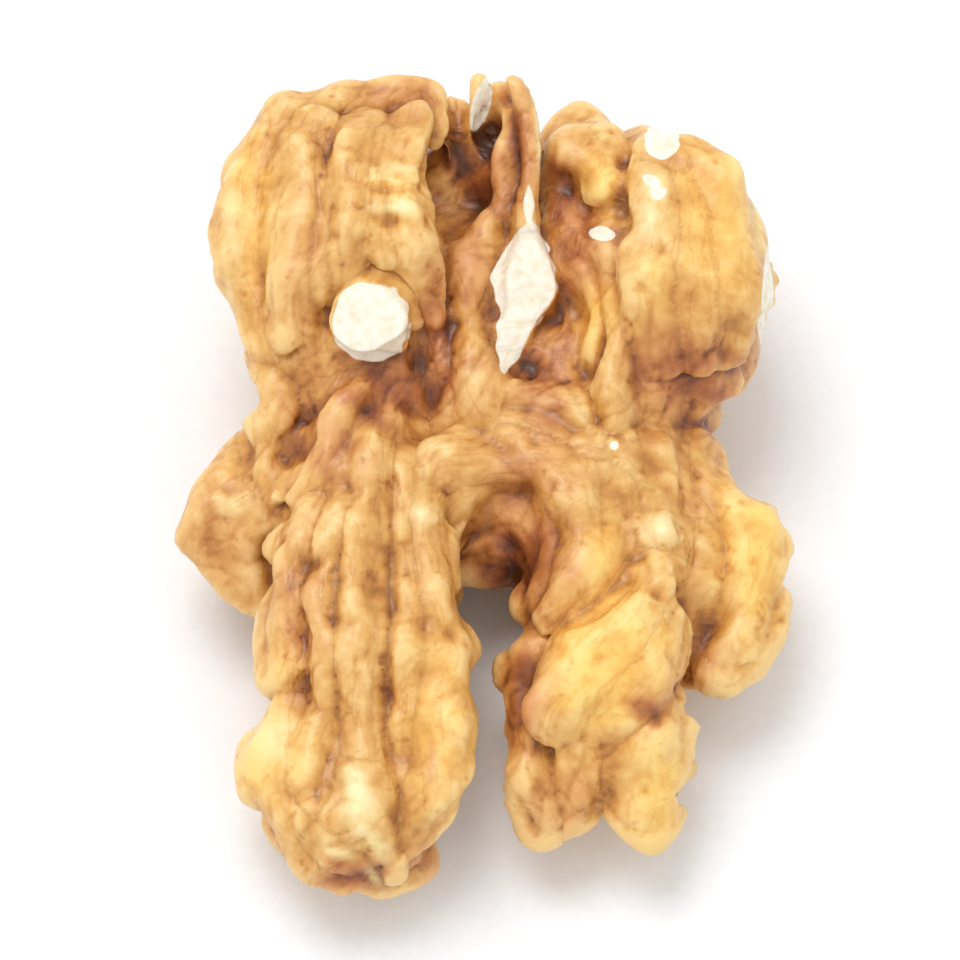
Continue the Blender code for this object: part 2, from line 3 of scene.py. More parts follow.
import bmesh
import bpy
import numpy as np
from mathutils import Euler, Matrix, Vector


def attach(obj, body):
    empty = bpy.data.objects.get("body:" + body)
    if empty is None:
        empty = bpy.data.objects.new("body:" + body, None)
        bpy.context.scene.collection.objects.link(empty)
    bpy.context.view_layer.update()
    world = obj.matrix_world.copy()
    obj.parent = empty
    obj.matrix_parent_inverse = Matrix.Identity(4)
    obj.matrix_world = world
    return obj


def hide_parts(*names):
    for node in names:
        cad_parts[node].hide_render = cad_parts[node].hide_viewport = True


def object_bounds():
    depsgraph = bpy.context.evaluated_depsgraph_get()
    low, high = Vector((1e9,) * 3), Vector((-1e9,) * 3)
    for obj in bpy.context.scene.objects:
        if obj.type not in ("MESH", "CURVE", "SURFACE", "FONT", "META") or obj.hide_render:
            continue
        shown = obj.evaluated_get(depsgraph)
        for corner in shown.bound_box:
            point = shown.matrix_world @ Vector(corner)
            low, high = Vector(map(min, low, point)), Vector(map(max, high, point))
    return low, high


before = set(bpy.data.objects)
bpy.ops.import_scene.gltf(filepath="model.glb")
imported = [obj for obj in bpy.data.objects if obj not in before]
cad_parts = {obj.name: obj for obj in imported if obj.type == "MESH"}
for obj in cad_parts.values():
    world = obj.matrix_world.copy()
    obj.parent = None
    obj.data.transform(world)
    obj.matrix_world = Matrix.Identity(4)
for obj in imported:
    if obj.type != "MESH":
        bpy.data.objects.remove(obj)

CAD_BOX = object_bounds()

# Lengths in the lists are millimetres. A row is (across, up, height, radius): across is +X, height is over
# the table, and up is measured square to a line of sight that comes from -Y and looks down at SIGHT.
MM = 0.001
SIGHT = math.radians(65)
TO_EYE = np.array([0, -math.cos(SIGHT), math.sin(SIGHT)])
EYE_HEIGHT = 6.0  # height at which up is 0 over the origin
PATH_STEPS = 5  # points between two rows of a path
RIDGE_SIDES = 28  # round a ridge
DOME_ANGLES = (0.35, 0.7, 1.0, 1.25, 1.45)  # round the quarter circle that closes a ridge's end
STEEP = 0.9  # climb of a path past which its rings are set out from X and no longer from Z
CELL = 0.19  # of the grid in which the folds are fused: about four dots of the picture
SOFTEN = 0.5  # share by which a point of the fused skin moves to the middle of its neighbours
SOFTEN_TIMES = 4
WAVE_COUNT = 16  # cosine waves in a random field
SETTLE = (-0.001, 0.003, 0.0)  # radians about X, Y and Z by which the kernel settles on its three low folds

# The large relief: creases, winding folds of the outer side and swellings
CREASE_DEPTH = 0.8  # share of a crease's width
FOLD_DEPTH = 1.5  # of the winding folds on the round outer side
FOLD_PITCH = 3.9  # from one winding fold to the next
FOLD_ROUNDNESS = 0.55  # under 1 gives round ridges between narrow valleys
FOLD_LEVEL = 0.6  # share of the depth that lies under the smooth skin
FOLD_BEND = 0.8  # how far the winding folds are pushed aside
BEND_LENGTH = 9.0  # over which they are pushed one way and back
BEND_SEEDS = (21, 22, 23)  # of the fields that push them along X, Y and Z
VALLEY_SEED = 31
OUTER_SLOPE = (0.3, -0.2)  # the winding folds fade in as the skin turns down between these slopes
OUTER_HEIGHT = (11.0, 9.0)  # and as it gets lower between these heights
FOOT_EDGE = (1.2, 1.9)  # all relief fades out round the feet between these shares of a foot's radius
SWELLS = ((0.06, 1.7, 43), (0.1, 2.8, 41), (0.1, 5.2, 42))  # height, length and seed of the skin's swellings
SLENDER = (1.5, 3.5)  # they fade out round the radicle between these shares of its radius
WANDER = 0.2  # how far the folds wander from their measured paths
WANDER_LENGTH = 6.5  # over which they wander one way and back
WANDER_SEEDS = (24, 25, 26)  # of the fields for X, Y and Z

# The fine relief: wrinkles, pits and smoothed places
WRINKLE_HEIGHT = 0.075  # of the fine wrinkles that run along a fold
WRINKLE_STRETCH = (1.0, 0.22, 9.0)  # round a fold, along it, and from one fold to the next
WRINKLE_WAVE = (1.5, 52)  # length and seed of the field whose zeros are the valleys between them
WRINKLE_BEND = 0.25  # how far they are pushed aside
WRINKLE_BEND_WAVE = (3.0, 51)
CROSS_HEIGHT = 0.05  # of those that run any way
CROSS_WAVE = (1.7, 53)
WRINKLE_ROUNDNESS = 0.6  # the lower it is, the sharper are the valleys between wrinkles
WRINKLE_LEVEL = 0.6  # share of their height that lies under the smooth skin
CALM = 0.7  # share of the wrinkles that white meat and plump lobes lose
PITS = 150
PIT_SEED = 61
PIT_WIDTHS = (0.18, 0.42)
PIT_DEPTH = 0.45  # share of a pit's width
BREAK_EDGE = (1.25, 1.0)  # a break turns flat between these shares of its size
BREAK_PRESS = 0.9  # share of what stands over a break that is pressed back
EVEN_OUT = 0.7  # share by which a point moves to the middle of its neighbours on a smoothed skin
PLUMP_TIMES = 60  # times that the plump lobes are smoothed
PLUMP_REACH = 0.4  # how far their smoothing reaches onto skin that faces away from the eye

# What the colours follow; the hollow guides paint shade in the hollows and light on the crests, over the
# skin's browner valleys
HOLLOW_SHADING = {"fine_hollow_shade": 8, "groove_hollow_shade": 30, "fold_hollow_shade": 120}  # times smoothed for each guide
CHALK_EDGE = 0.4  # over which the guide of the white meat runs from 1 to 0
CRUMBLE = 0.03  # share of a spot's size by which its edge is crumbled
CRUMBLE_WAVE = (0.9, 73)
RAGGED = 0.15  # share of a patch's size by which its edge is ragged
RAGGED_WAVE = (1.6, 72)
PATCH_FALL = 1.2  # a patch falls off as e to the minus PATCH_FALL times the gap to the power PATCH_POWER
PATCH_POWER = 2.4
BARE_FACING = (-1 / 12, 1 / 12)  # white meat fades in as the skin turns to the eye between these cosines
PATCH_FACING = (0, 0.25)  # and so do the patches
OUTER_FACING = (0.25, -0.25)  # the tone of the outer side fades in as the skin turns away
FOLD_APART = 20  # from one fold to the next on the coordinates of the veins, so that each has its own

# Masses of nut meat under the folds
CORES = {
    "upper_left": [
        (-5.4, 14.2, 8.6, 2.8), (-6.2, 11.5, 7.5, 3.9), (-6.1, 7.8, 6.2, 4.3), (-5.6, 3.5, 4.9, 4.1),
    ],
    "upper_right": [
        (7.8, 13.0, 8.3, 2.8), (8.4, 10.5, 7.3, 4.0), (8.0, 7.2, 6.3, 4.1), (6.6, 3.6, 5.0, 3.8),
    ],
    "middle": [(0.4, 13.6, 7.4, 2.2), (0.6, 10.0, 5.7, 3.6), (0.4, 5.5, 4.6, 4.1), (0.3, 2.4, 4.3, 3.6)],
    "pocket_floor": [
        (-1.3, 11.8, 7.5, 1.3), (-1.1, 13.8, 8.0, 1.4), (-0.8, 15.4, 8.6, 1.3),
        (-0.7, 16.5, 9.0, 1.0),
    ],
    "arch_saddle": [(0.6, 3.3, 7.0, 1.1), (2.3, 3.1, 7.1, 1.3), (4.3, 2.8, 7.2, 1.3)],
    "left_valley": [(-2.0, 12.6, 6.2, 2.4), (-2.4, 9.0, 5.6, 3.4), (-2.4, 5.0, 4.9, 3.6)],
    "right_valley": [
        (4.3, 13.8, 7.6, 2.2), (4.3, 10.5, 6.2, 2.9), (4.2, 7.0, 5.3, 3.5), (3.8, 4.0, 4.8, 3.6),
    ],
    "left_leg": [
        (-5.4, 0.0, 4.7, 4.1), (-5.3, -5.0, 4.3, 3.8), (-5.1, -10.0, 4.0, 3.4), (-5.5, -14.6, 3.8, 2.8),
    ],
    "right_leg": [
        (6.2, 0.5, 4.7, 3.9), (6.5, -4.0, 4.3, 3.5), (5.4, -8.5, 4.0, 3.0), (5.5, -12.4, 3.6, 2.4),
    ],
    "left_side": [(-8.0, 0.3, 4.4, 3.1), (-10.6, -2.2, 4.1, 2.5)],
    "right_side": [
        (8.3, -0.2, 4.6, 2.9), (10.7, -3.5, 4.1, 2.4), (10.4, -6.6, 3.6, 2.1),
        (10.1, -8.0, 3.4, 1.6),
    ],
}

# Folds of the inner face, from the tip end down to the legs
FOLDS = {
    "left_rim": [
        (-6.3, 17.3, 10.4, 1.0), (-8.5, 15.9, 10.2, 1.2), (-10.1, 13.3, 9.8, 1.3),
        (-10.5, 10.8, 9.4, 1.3), (-10.0, 8.4, 8.9, 1.2), (-9.5, 6.4, 8.4, 1.1),
    ],
    "left_second": [
        (-7.2, 16.0, 10.9, 0.9), (-8.2, 13.9, 11.0, 1.15), (-8.35, 11.4, 10.8, 1.25),
        (-8.1, 9.0, 10.3, 1.2), (-8.3, 6.9, 9.5, 1.1),
    ],
    "left_pit_floor": [(-9.4, 6.9, 8.0, 1.0), (-8.2, 6.0, 8.2, 1.1), (-7.0, 5.4, 7.8, 1.1)],
    "left_valley_ridge": [
        (-6.7, 15.9, 11.1, 0.65), (-7.0, 13.5, 11.4, 0.7), (-7.05, 11.0, 11.3, 0.7),
        (-7.0, 8.6, 10.6, 0.75),
    ],
    "left_broad_outer": [
        (-5.4, 15.7, 11.0, 1.1), (-5.75, 13.5, 11.4, 1.4), (-5.75, 11.0, 11.2, 1.4),
        (-5.9, 9.0, 10.3, 1.2),
    ],
    "left_broad_inner": [
        (-3.5, 15.6, 11.0, 1.2), (-3.6, 13.5, 11.35, 1.5), (-3.4, 11.0, 11.0, 1.5),
        (-2.9, 9.1, 9.8, 1.15), (-2.4, 7.4, 8.7, 0.8),
    ],
    "left_broad_middle": [
        (-4.5, 15.2, 11.2, 1.0), (-4.7, 12.5, 11.5, 1.2), (-4.6, 10.2, 11.1, 1.1),
    ],
    "left_top_roll": [
        (-5.8, 16.8, 10.2, 1.0), (-4.2, 17.1, 10.3, 1.0), (-2.7, 16.7, 10.2, 0.95),
        (-1.9, 15.5, 10.2, 0.8),
    ],
    "left_knob": [(-4.9, 7.5, 9.4, 1.7), (-4.9, 7.0, 10.1, 1.7)],
    "left_shoulder": [
        (-9.5, 5.5, 7.6, 1.0), (-8.9, 3.6, 7.4, 1.0), (-9.3, 1.8, 7.0, 0.9), (-9.2, 0.2, 6.6, 0.9),
    ],
    "left_side_lobe": [
        (-10.9, -1.3, 4.9, 1.8), (-11.9, -2.1, 4.6, 1.9), (-11.6, -3.1, 4.2, 1.6),
        (-10.1, -4.2, 4.0, 1.3),
    ],
    "left_waist": [(-5.6, 3.6, 8.3, 0.9), (-6.9, 1.4, 8.2, 0.9), (-8.2, -0.8, 7.2, 0.9)],
    "radicle": [
        (2.1, 11.5, 9.3, 0.8), (2.15, 13.3, 10.0, 0.48), (2.05, 15.3, 10.6, 0.42),
        (1.9, 17.1, 11.2, 0.4), (1.6, 18.1, 11.6, 0.36),
    ],
    "radicle_left": [
        (-0.6, 15.0, 9.1, 0.6), (-0.35, 16.2, 10.0, 0.45), (-0.05, 17.2, 10.7, 0.42),
        (0.4, 18.0, 11.2, 0.38),
    ],
    "radicle_web": [
        (0.6, 14.6, 8.6, 0.9), (0.7, 15.9, 9.1, 0.75), (0.9, 17.0, 9.8, 0.6),
        (1.0, 17.7, 10.3, 0.5),
    ],
    "radicle_flap": [
        (0.8, 11.9, 8.3, 1.3), (0.9, 13.6, 8.9, 1.1), (1.2, 15.4, 9.7, 0.8),
        (1.4, 16.6, 10.3, 0.55),
    ],
    "seed_leaf_joint": [
        (2.1, 10.8, 8.9, 0.8), (1.9, 8.8, 8.8, 1.3), (1.4, 6.8, 8.3, 0.8), (1.2, 5.3, 7.9, 0.6),
    ],
    "joint_ridge": [
        (0.2, 11.8, 8.8, 0.8), (-0.3, 10.2, 8.7, 0.85), (-0.6, 8.0, 8.4, 0.85),
        (-0.3, 5.8, 8.0, 0.8), (0.2, 3.8, 7.6, 0.8),
    ],
    "middle_ridge": [(1.2, 5.6, 7.8, 0.8), (0.5, 3.8, 7.7, 0.9), (0.4, 2.0, 7.5, 0.9)],
    "right_inner_top": [(4.0, 14.7, 8.9, 1.3), (5.0, 14.5, 9.4, 1.5), (5.9, 13.4, 9.9, 1.3)],
    "right_bulge": [
        (8.1, 14.6, 10.7, 1.5), (9.5, 13.6, 10.3, 1.9), (10.5, 11.0, 9.7, 2.2),
        (10.8, 8.4, 9.2, 2.2), (9.7, 6.4, 8.3, 1.8),
    ],
    "right_bulge_inner": [
        (7.6, 14.8, 10.3, 1.2), (7.6, 12.8, 10.8, 1.4), (7.8, 10.0, 10.7, 1.6),
        (7.9, 7.8, 10.1, 1.6), (8.1, 5.8, 9.1, 1.3),
    ],
    "right_bulge_crown": [
        (8.8, 13.8, 10.4, 1.5), (9.2, 11.0, 10.4, 1.8), (9.4, 8.3, 9.9, 1.8), (9.2, 6.2, 8.9, 1.5),
    ],
    "right_bulge_foot": [(9.8, 5.2, 7.0, 1.5), (9.0, 4.2, 6.8, 1.5), (8.0, 3.0, 6.6, 1.4)],
    "right_beads": [(4.4, 8.9, 8.5, 0.9), (5.0, 7.2, 8.6, 0.75), (4.8, 5.6, 8.2, 0.75)],
    "right_inner_ridge": [
        (6.2, 8.0, 9.4, 0.8), (6.5, 6.2, 9.3, 0.85), (6.0, 4.4, 8.7, 0.85), (6.2, 2.6, 8.2, 0.8),
    ],
    "right_waist": [(6.8, 1.6, 7.9, 0.9), (7.9, 0.9, 7.6, 0.95), (8.6, -0.4, 7.1, 0.8)],
    "right_pearl": [(7.9, -1.9, 6.9, 0.9), (8.0, -2.3, 7.3, 0.8)],
    "arch": [
        (-2.7, -1.0, 6.9, 1.3), (-1.6, 0.4, 7.1, 1.5), (0.5, 0.8, 7.0, 1.65), (2.7, 0.4, 7.0, 1.65),
        (4.3, -1.0, 7.0, 1.5), (5.0, -2.9, 7.0, 1.3), (4.6, -4.7, 6.9, 1.2), (3.7, -5.8, 6.6, 1.0),
    ],
    "arch_face": [
        (4.3, -0.4, 7.1, 1.2), (5.4, -2.0, 7.0, 1.25), (5.4, -3.6, 6.9, 1.25),
        (4.6, -5.2, 6.7, 1.1),
    ],
    "arch_shoulder": [(0.4, 2.1, 7.2, 0.9), (2.4, 2.1, 7.4, 1.0), (4.4, 1.2, 7.4, 1.0)],
    "arch_inner": [
        (-1.7, -1.9, 6.2, 1.2), (-0.9, -0.8, 6.2, 1.3), (0.6, -0.3, 6.1, 1.4),
        (2.4, -0.6, 6.1, 1.45), (3.6, -1.9, 6.0, 1.4), (3.9, -3.6, 5.9, 1.3), (3.4, -5.4, 5.6, 1.2),
    ],
    "arch_throat": [
        (-1.1, -2.2, 5.2, 1.2), (0.3, -1.6, 5.0, 1.7), (2.2, -1.9, 5.0, 1.8), (3.3, -3.4, 4.9, 1.6),
        (3.1, -5.4, 4.7, 1.35),
    ],
    "throat_floor": [
        (-0.4, -3.0, 4.2, 1.1), (0.8, -3.2, 4.0, 1.4), (2.2, -3.6, 4.1, 1.4), (3.2, -5.0, 4.0, 1.2),
    ],
    "leg_inner": [
        (-2.6, -0.2, 7.3, 1.1), (-2.5, -3.0, 7.2, 1.2), (-2.3, -6.0, 6.9, 1.3),
        (-1.8, -9.0, 6.3, 1.5), (-2.0, -12.0, 5.6, 1.7), (-2.6, -14.3, 4.9, 1.65),
        (-3.4, -15.8, 3.9, 1.4),
    ],
    "leg_inner_second": [
        (-3.5, 0.6, 7.7, 0.9), (-3.6, -3.0, 7.5, 1.0), (-3.5, -6.5, 7.1, 1.05),
        (-3.2, -10.0, 6.4, 1.1), (-3.5, -13.0, 5.6, 1.0),
    ],
    "leg_middle": [
        (-4.9, 1.4, 8.4, 0.6), (-5.25, -2.0, 8.4, 0.65), (-5.3, -5.5, 8.0, 0.7),
        (-5.25, -9.0, 7.25, 0.7), (-5.3, -12.0, 6.35, 0.7),
    ],
    "leg_thread": [
        (-4.3, 1.0, 8.2, 0.55), (-4.5, -2.0, 8.1, 0.55), (-4.6, -5.5, 7.7, 0.6),
        (-4.5, -9.0, 6.9, 0.65), (-4.5, -12.3, 6.0, 0.65),
    ],
    "leg_narrow": [
        (-6.0, -1.2, 8.1, 0.7), (-6.7, -4.5, 7.7, 0.75), (-6.6, -8.0, 7.0, 0.8),
        (-6.8, -11.0, 6.3, 0.85), (-7.2, -13.2, 5.7, 0.85),
    ],
    "leg_outer": [
        (-7.2, -1.6, 7.3, 0.9), (-8.0, -3.6, 6.8, 1.1), (-8.5, -6.0, 6.2, 1.3), (-8.4, -8.6, 5.8, 1.3),
    ],
    "leg_bulb": [
        (-8.4, -10.6, 5.2, 1.35), (-8.7, -12.2, 4.8, 1.5), (-8.5, -14.0, 4.3, 1.35),
        (-7.9, -15.6, 3.6, 1.25), (-7.1, -16.5, 3.0, 1.25),
    ],
    "leg_chip": [
        (-5.4, -13.1, 6.3, 0.75), (-5.1, -14.6, 5.8, 0.9), (-4.7, -15.8, 5.1, 0.75),
        (-4.0, -16.9, 4.2, 0.6),
    ],
    "left_toe": [(-6.9, -16.6, 2.9, 1.3), (-5.2, -16.8, 2.6, 1.35), (-3.6, -16.5, 2.9, 1.3)],
    "toe_lip": [
        (-7.2, -15.9, 4.4, 0.4), (-6.0, -16.1, 4.6, 0.4), (-5.1, -16.7, 4.2, 0.4),
        (-4.7, -17.2, 3.5, 0.3),
    ],
    "right_shield": [
        (7.8, -4.8, 6.8, 1.3), (6.6, -6.7, 6.7, 1.6), (4.7, -8.3, 6.3, 1.95),
        (3.6, -10.2, 5.8, 1.7),
    ],
    "right_shield_edge": [(8.0, -6.4, 6.3, 1.4), (7.0, -8.6, 6.1, 1.6), (5.2, -10.4, 5.6, 1.5)],
    "right_leg_flank": [
        (3.3, -5.8, 5.0, 1.1), (2.8, -7.4, 5.0, 1.1), (2.3, -9.2, 4.7, 1.15),
        (2.0, -11.2, 4.3, 1.05), (1.95, -12.8, 3.9, 0.95),
    ],
    "right_toe_left": [(2.0, -11.5, 4.6, 0.9), (2.1, -13.2, 3.9, 0.95), (2.8, -14.8, 2.8, 1.0)],
    "right_toe_middle": [(4.2, -12.2, 5.0, 1.2), (4.3, -13.6, 4.1, 1.2), (4.3, -14.7, 3.0, 1.1)],
    "right_toe": [
        (8.0, -9.9, 5.2, 1.0), (7.6, -11.6, 5.0, 1.25), (7.35, -13.0, 4.4, 1.4),
        (7.2, -14.3, 3.6, 1.45),
    ],
    "right_side_lobe": [
        (10.4, -0.3, 6.1, 1.3), (11.6, -1.6, 5.9, 1.4), (12.0, -3.8, 5.6, 1.4),
        (11.7, -5.9, 5.0, 1.4), (11.1, -7.4, 4.4, 1.35), (10.3, -8.6, 3.8, 1.4),
    ],
    "right_side_inner": [(10.0, -3.0, 5.9, 0.9), (9.9, -5.0, 5.4, 1.0), (9.3, -7.0, 4.7, 1.0)],
}

# Creases pressed into the skin; the fourth number is their width
CREASES = {
    "left_lobe": [
        (-5.7, 16.5, 11.6, 0.4), (-6.8, 14.5, 11.8, 0.3), (-7.2, 12.0, 11.6, 0.3),
        (-7.0, 9.5, 11.0, 0.35),
    ],
    "left_wrinkle_high": [(-4.6, 13.0, 12.6, 0.35), (-3.6, 12.8, 12.6, 0.4), (-2.6, 12.9, 12.2, 0.35)],
    "left_wrinkle_low": [(-4.6, 11.2, 12.4, 0.35), (-3.6, 11.0, 12.3, 0.4), (-2.4, 11.2, 11.8, 0.35)],
    "radicle_pocket": [(-1.3, 13.0, 8.7, 1.3), (-0.7, 14.4, 8.9, 1.4), (0.0, 15.8, 9.3, 1.1)],
    "right_lobe": [(6.3, 14.6, 10.8, 0.5), (6.3, 11.5, 10.6, 0.6), (6.2, 9.5, 10.2, 0.5)],
    "left_side": [(-7.5, 1.5, 8.4, 0.6), (-8.3, 0.0, 8.0, 0.6), (-9.0, -1.5, 7.2, 0.5)],
    "left_leg": [
        (-3.9, 0.0, 8.4, 0.3), (-4.1, -5.0, 8.0, 0.3), (-4.0, -10.0, 7.1, 0.3),
        (-3.7, -14.5, 5.7, 0.3),
    ],
    "leg_line": [
        (-5.6, 0.0, 8.4, 0.25), (-6.05, -4.0, 8.1, 0.3), (-6.0, -8.0, 7.3, 0.3),
        (-6.1, -11.5, 6.5, 0.3),
    ],
    "leg_bulb": [(-10.0, -9.6, 6.4, 0.4), (-8.6, -9.8, 7.0, 0.5), (-7.6, -10.2, 7.2, 0.4)],
    "arch_fold": [(0.8, 1.8, 8.8, 0.35), (0.8, 0.3, 8.8, 0.35)],
    "arch_end": [
        (6.6, -3.5, 8.2, 0.4), (6.0, -5.0, 8.2, 0.4), (4.5, -6.2, 8.0, 0.4), (3.6, -6.4, 7.4, 0.4),
    ],
    "right_toe": [(5.8, -11.6, 6.2, 0.5), (5.8, -14.0, 5.0, 0.5), (5.8, -16.2, 3.6, 0.5)],
    "right_side": [(10.8, -6.0, 6.4, 0.6), (9.5, -8.0, 5.8, 0.6), (8.3, -9.6, 5.4, 0.6)],
    "right_waist": [(9.3, 1.5, 8.0, 0.4), (9.2, -1.5, 7.4, 0.4)],
}

# The middle line of the outer side, as (x, y, z, width)
SEAM = [(0.4, 1.0, 0.4, 0.7), (0.2, 6.0, 1.4, 0.8), (0.6, 11.0, 3.6, 0.8), (0.8, 14.5, 6.0, 0.7)]

# Folds of the outer side that it stands on, as (x, y, z, radius)
FEET = {
    "left": [(-7.2, -8.6, 1.6, 1.7), (-5.8, -7.2, 1.0, 1.7), (-4.6, -5.2, 1.5, 1.7)],
    "right": [(7.4, -6.8, 1.6, 1.7), (6.2, -5.8, 1.0, 1.7), (4.8, -4.2, 1.5, 1.7)],
    "tip_end": [(-2.6, 7.4, 1.7, 1.7), (0.4, 8.2, 1.0, 1.7), (3.2, 7.6, 1.7, 1.7)],
}

# Flat breaks in the meat, square to the line of sight: (across, up, height, half width, half length, turn)
BREAKS = [(-4.9, 7.0, 10.8, 1.75, 1.75, 0), (1.8, 8.7, 9.3, 1.5, 3.4, 8)]

# Plump smooth lobes, as (across, up, half width, half length, turn in degrees, strength)
PLUMP = [
    (9.8, 11.0, 3.0, 4.6, 0, 0.9), (7.5, -13.2, 1.4, 2.6, 0, 0.9), (5.3, -8.3, 2.2, 3.0, -25, 0.9),
    (5.2, -3.2, 1.3, 2.2, 0, 0.9), (-9.1, -12.2, 1.5, 2.2, 0, 0.9), (12.3, -3.0, 1.4, 4.0, 0, 0.8),
    (-1.8, -10.5, 1.5, 3.6, 0, 0.6), (-10.4, 11.5, 1.2, 4.0, -6, 0.7), (-3.0, -13.6, 1.0, 2.4, 10, 0.6),
    (8.9, -13.6, 1.2, 2.8, 0, 0.9), (12.8, 8.8, 1.0, 3.6, 0, 0.9), (-8.3, 11.0, 0.9, 4.6, 0, 0.5),
    (-2.3, -4.6, 1.0, 4.4, 0, 0.6), (0.0, 16.8, 0.5, 1.3, 16, 0.9), (-4.6, -17.2, 0.8, 0.9, 0, 0.8),
    (-5.0, -5.0, 0.9, 7.0, 0, 0.5), (1.6, 0.8, 3.4, 1.6, 0, 0.5),
]

# Places where the white meat shows, as (across, up, half width, half length, turn in degrees, roundness):
# the outline is an ellipse where roundness is 2 and a rhombus where it is 1
CHALK = [
    (-4.9, 7.0, 1.7, 1.75, 0, 2.2), (1.95, 8.9, 1.5, 2.8, 6, 1.25), (1.45, 6.7, 0.75, 2.0, 12, 1.4),
    (8.1, 15.2, 0.8, 0.9, 0, 2.0), (7.6, 13.35, 0.42, 0.27, 28, 1.7), (5.4, 11.0, 0.6, 0.35, 10, 1.8),
    (12.8, 8.3, 0.28, 2.2, 3, 2.0), (0.0, 16.9, 0.42, 1.3, 16, 1.7), (5.9, 1.5, 0.22, 0.22, 0, 2.0),
    (2.15, 12.3, 0.25, 0.9, 0, 1.5), (7.95, 12.75, 0.38, 0.24, -35, 1.7), (7.7, 13.05, 0.17, 0.34, 20, 2.0),
]

# Soft patches of the skin, among them painted highlights and painted shade, as (across, up, half width, half
# length, turn in degrees, strength)
# Pale rubbed places, with painted highlights on crests and wrinkles
PALE_AND_HIGHLIGHTS = [
    (-5.3, -14.2, 0.75, 1.5, -14, 1.0), (-4.7, -15.8, 0.4, 1.0, -32, 0.8), (-6.2, -16.3, 0.9, 0.2, 12, 0.8),
    (-4.7, -17.4, 0.2, 0.7, -30, 0.8), (8.0, -2.2, 0.7, 0.7, 0, 0.9), (7.6, 11.6, 1.0, 1.2, 0, 0.5),
    (-9.2, -11.4, 1.0, 1.3, 0, 0.6), (-3.9, 13.9, 0.9, 0.3, 0, 0.8), (-3.9, 12.1, 1.1, 0.3, 0, 0.9),
    (2.65, 14.8, 0.16, 3.0, -4, 0.9), (-11.0, -1.2, 0.6, 0.5, 0, 0.7), (12.3, 12.0, 0.7, 2.4, -20, 0.5),
    (-11.2, 10.8, 0.5, 3.0, 0, 0.5), (-2.6, -1.6, 0.8, 0.6, 0, 0.5), (7.75, 13.0, 0.75, 0.8, 10, 1.0),
]
# Reddish-brown skin, with painted shade on sides that turn down, in the arch throat and on the leg's flank
STAIN_AND_SHADE = [
    (-3.6, 4.2, 3.4, 1.9, -10, 1.0), (-1.9, 6.6, 0.9, 3.2, 0, 1.0), (4.2, 10.5, 1.6, 2.5, 0, 1.0),
    (2.9, 4.8, 1.3, 3.0, 8, 0.9), (0.3, 13.6, 1.7, 1.9, 0, 1.0), (-6.8, 1.6, 1.5, 2.2, -30, 0.7),
    (-12.0, -2.6, 2.4, 2.6, 0, 0.35), (9.4, 4.6, 3.0, 2.2, 0, 1.0), (9.5, -8.2, 1.0, 1.8, 35, 0.6),
    (1.8, -3.2, 2.4, 2.6, 0, 1.0), (1.9, -9.0, 1.0, 3.6, 5, 1.0), (-5.9, -17.4, 1.9, 0.9, 0, 1.0),
    (3.6, -14.3, 1.9, 1.6, 0, 0.5), (-8.3, -6.5, 0.6, 0.8, 0, 0.8), (-2.2, -12.6, 0.3, 0.8, 0, 0.7),
    (-0.4, 9.6, 1.2, 2.6, 0, 0.9), (2.2, 0.2, 2.4, 1.4, 0, 0.5), (-2.2, -17.0, 1.0, 1.2, 0, 0.7),
    (-3.6, 17.3, 2.0, 0.9, 0, 0.6), (1.8, 15.0, 0.95, 3.4, -4, 0.9), (2.4, -5.6, 0.9, 1.8, 0, 0.7),
    (-8.1, -5.5, 1.2, 4.0, 0, 0.5), (-8.3, 8.5, 1.2, 3.0, 0, 0.3), (7.3, -9.9, 1.0, 0.8, 40, 0.9),
    (-8.3, 2.2, 0.5, 2.6, -20, 0.7), (3.5, 12.6, 1.0, 2.6, 0, 1.0),
]
# Painted shade in cavities, gaps, creases and under lobes, and a few dark specks of the skin
SHADE_AND_SPECKS = [
    (-1.2, 14.2, 0.7, 1.7, -28, 1.2), (1.1, 17.4, 0.5, 0.9, -8, 1.2), (0.9, -4.4, 1.8, 1.5, 0, 1.3),
    (-3.2, 5.2, 1.2, 0.8, 40, 0.6), (7.1, -10.1, 1.0, 0.5, 40, 1.2), (-7.3, -15.4, 0.4, 1.2, 0, 0.5),
    (5.8, -13.4, 0.25, 2.2, 0, 0.7), (2.4, -13.4, 0.3, 1.5, 0, 1.0), (1.6, -8.8, 0.8, 3.4, 8, 1.0),
    (4.9, 11.0, 0.3, 0.4, 0, 0.8), (6.1, 11.5, 0.25, 2.2, 0, 0.7), (9.6, 2.2, 1.6, 0.7, 0, 0.8),
    (-3.9, -14.8, 0.25, 1.6, 25, 0.6), (1.3, 8.5, 0.22, 0.3, 0, 1.0), (10.2, 5.2, 2.2, 1.3, 0, 0.5),
    (3.3, -6.6, 0.5, 1.6, 0, 0.7), (1.8, 15.4, 0.7, 3.2, -4, 0.8), (3.4, 12.8, 0.5, 2.2, 0, 0.5),
    (-5.8, -17.3, 1.7, 0.7, 0, 0.45), (-3.4, 4.0, 2.6, 1.2, -10, 0.35), (-0.4, 9.4, 0.8, 1.8, 0, 0.3),
    (6.8, -2.4, 0.22, 2.4, -18, 0.7),
]
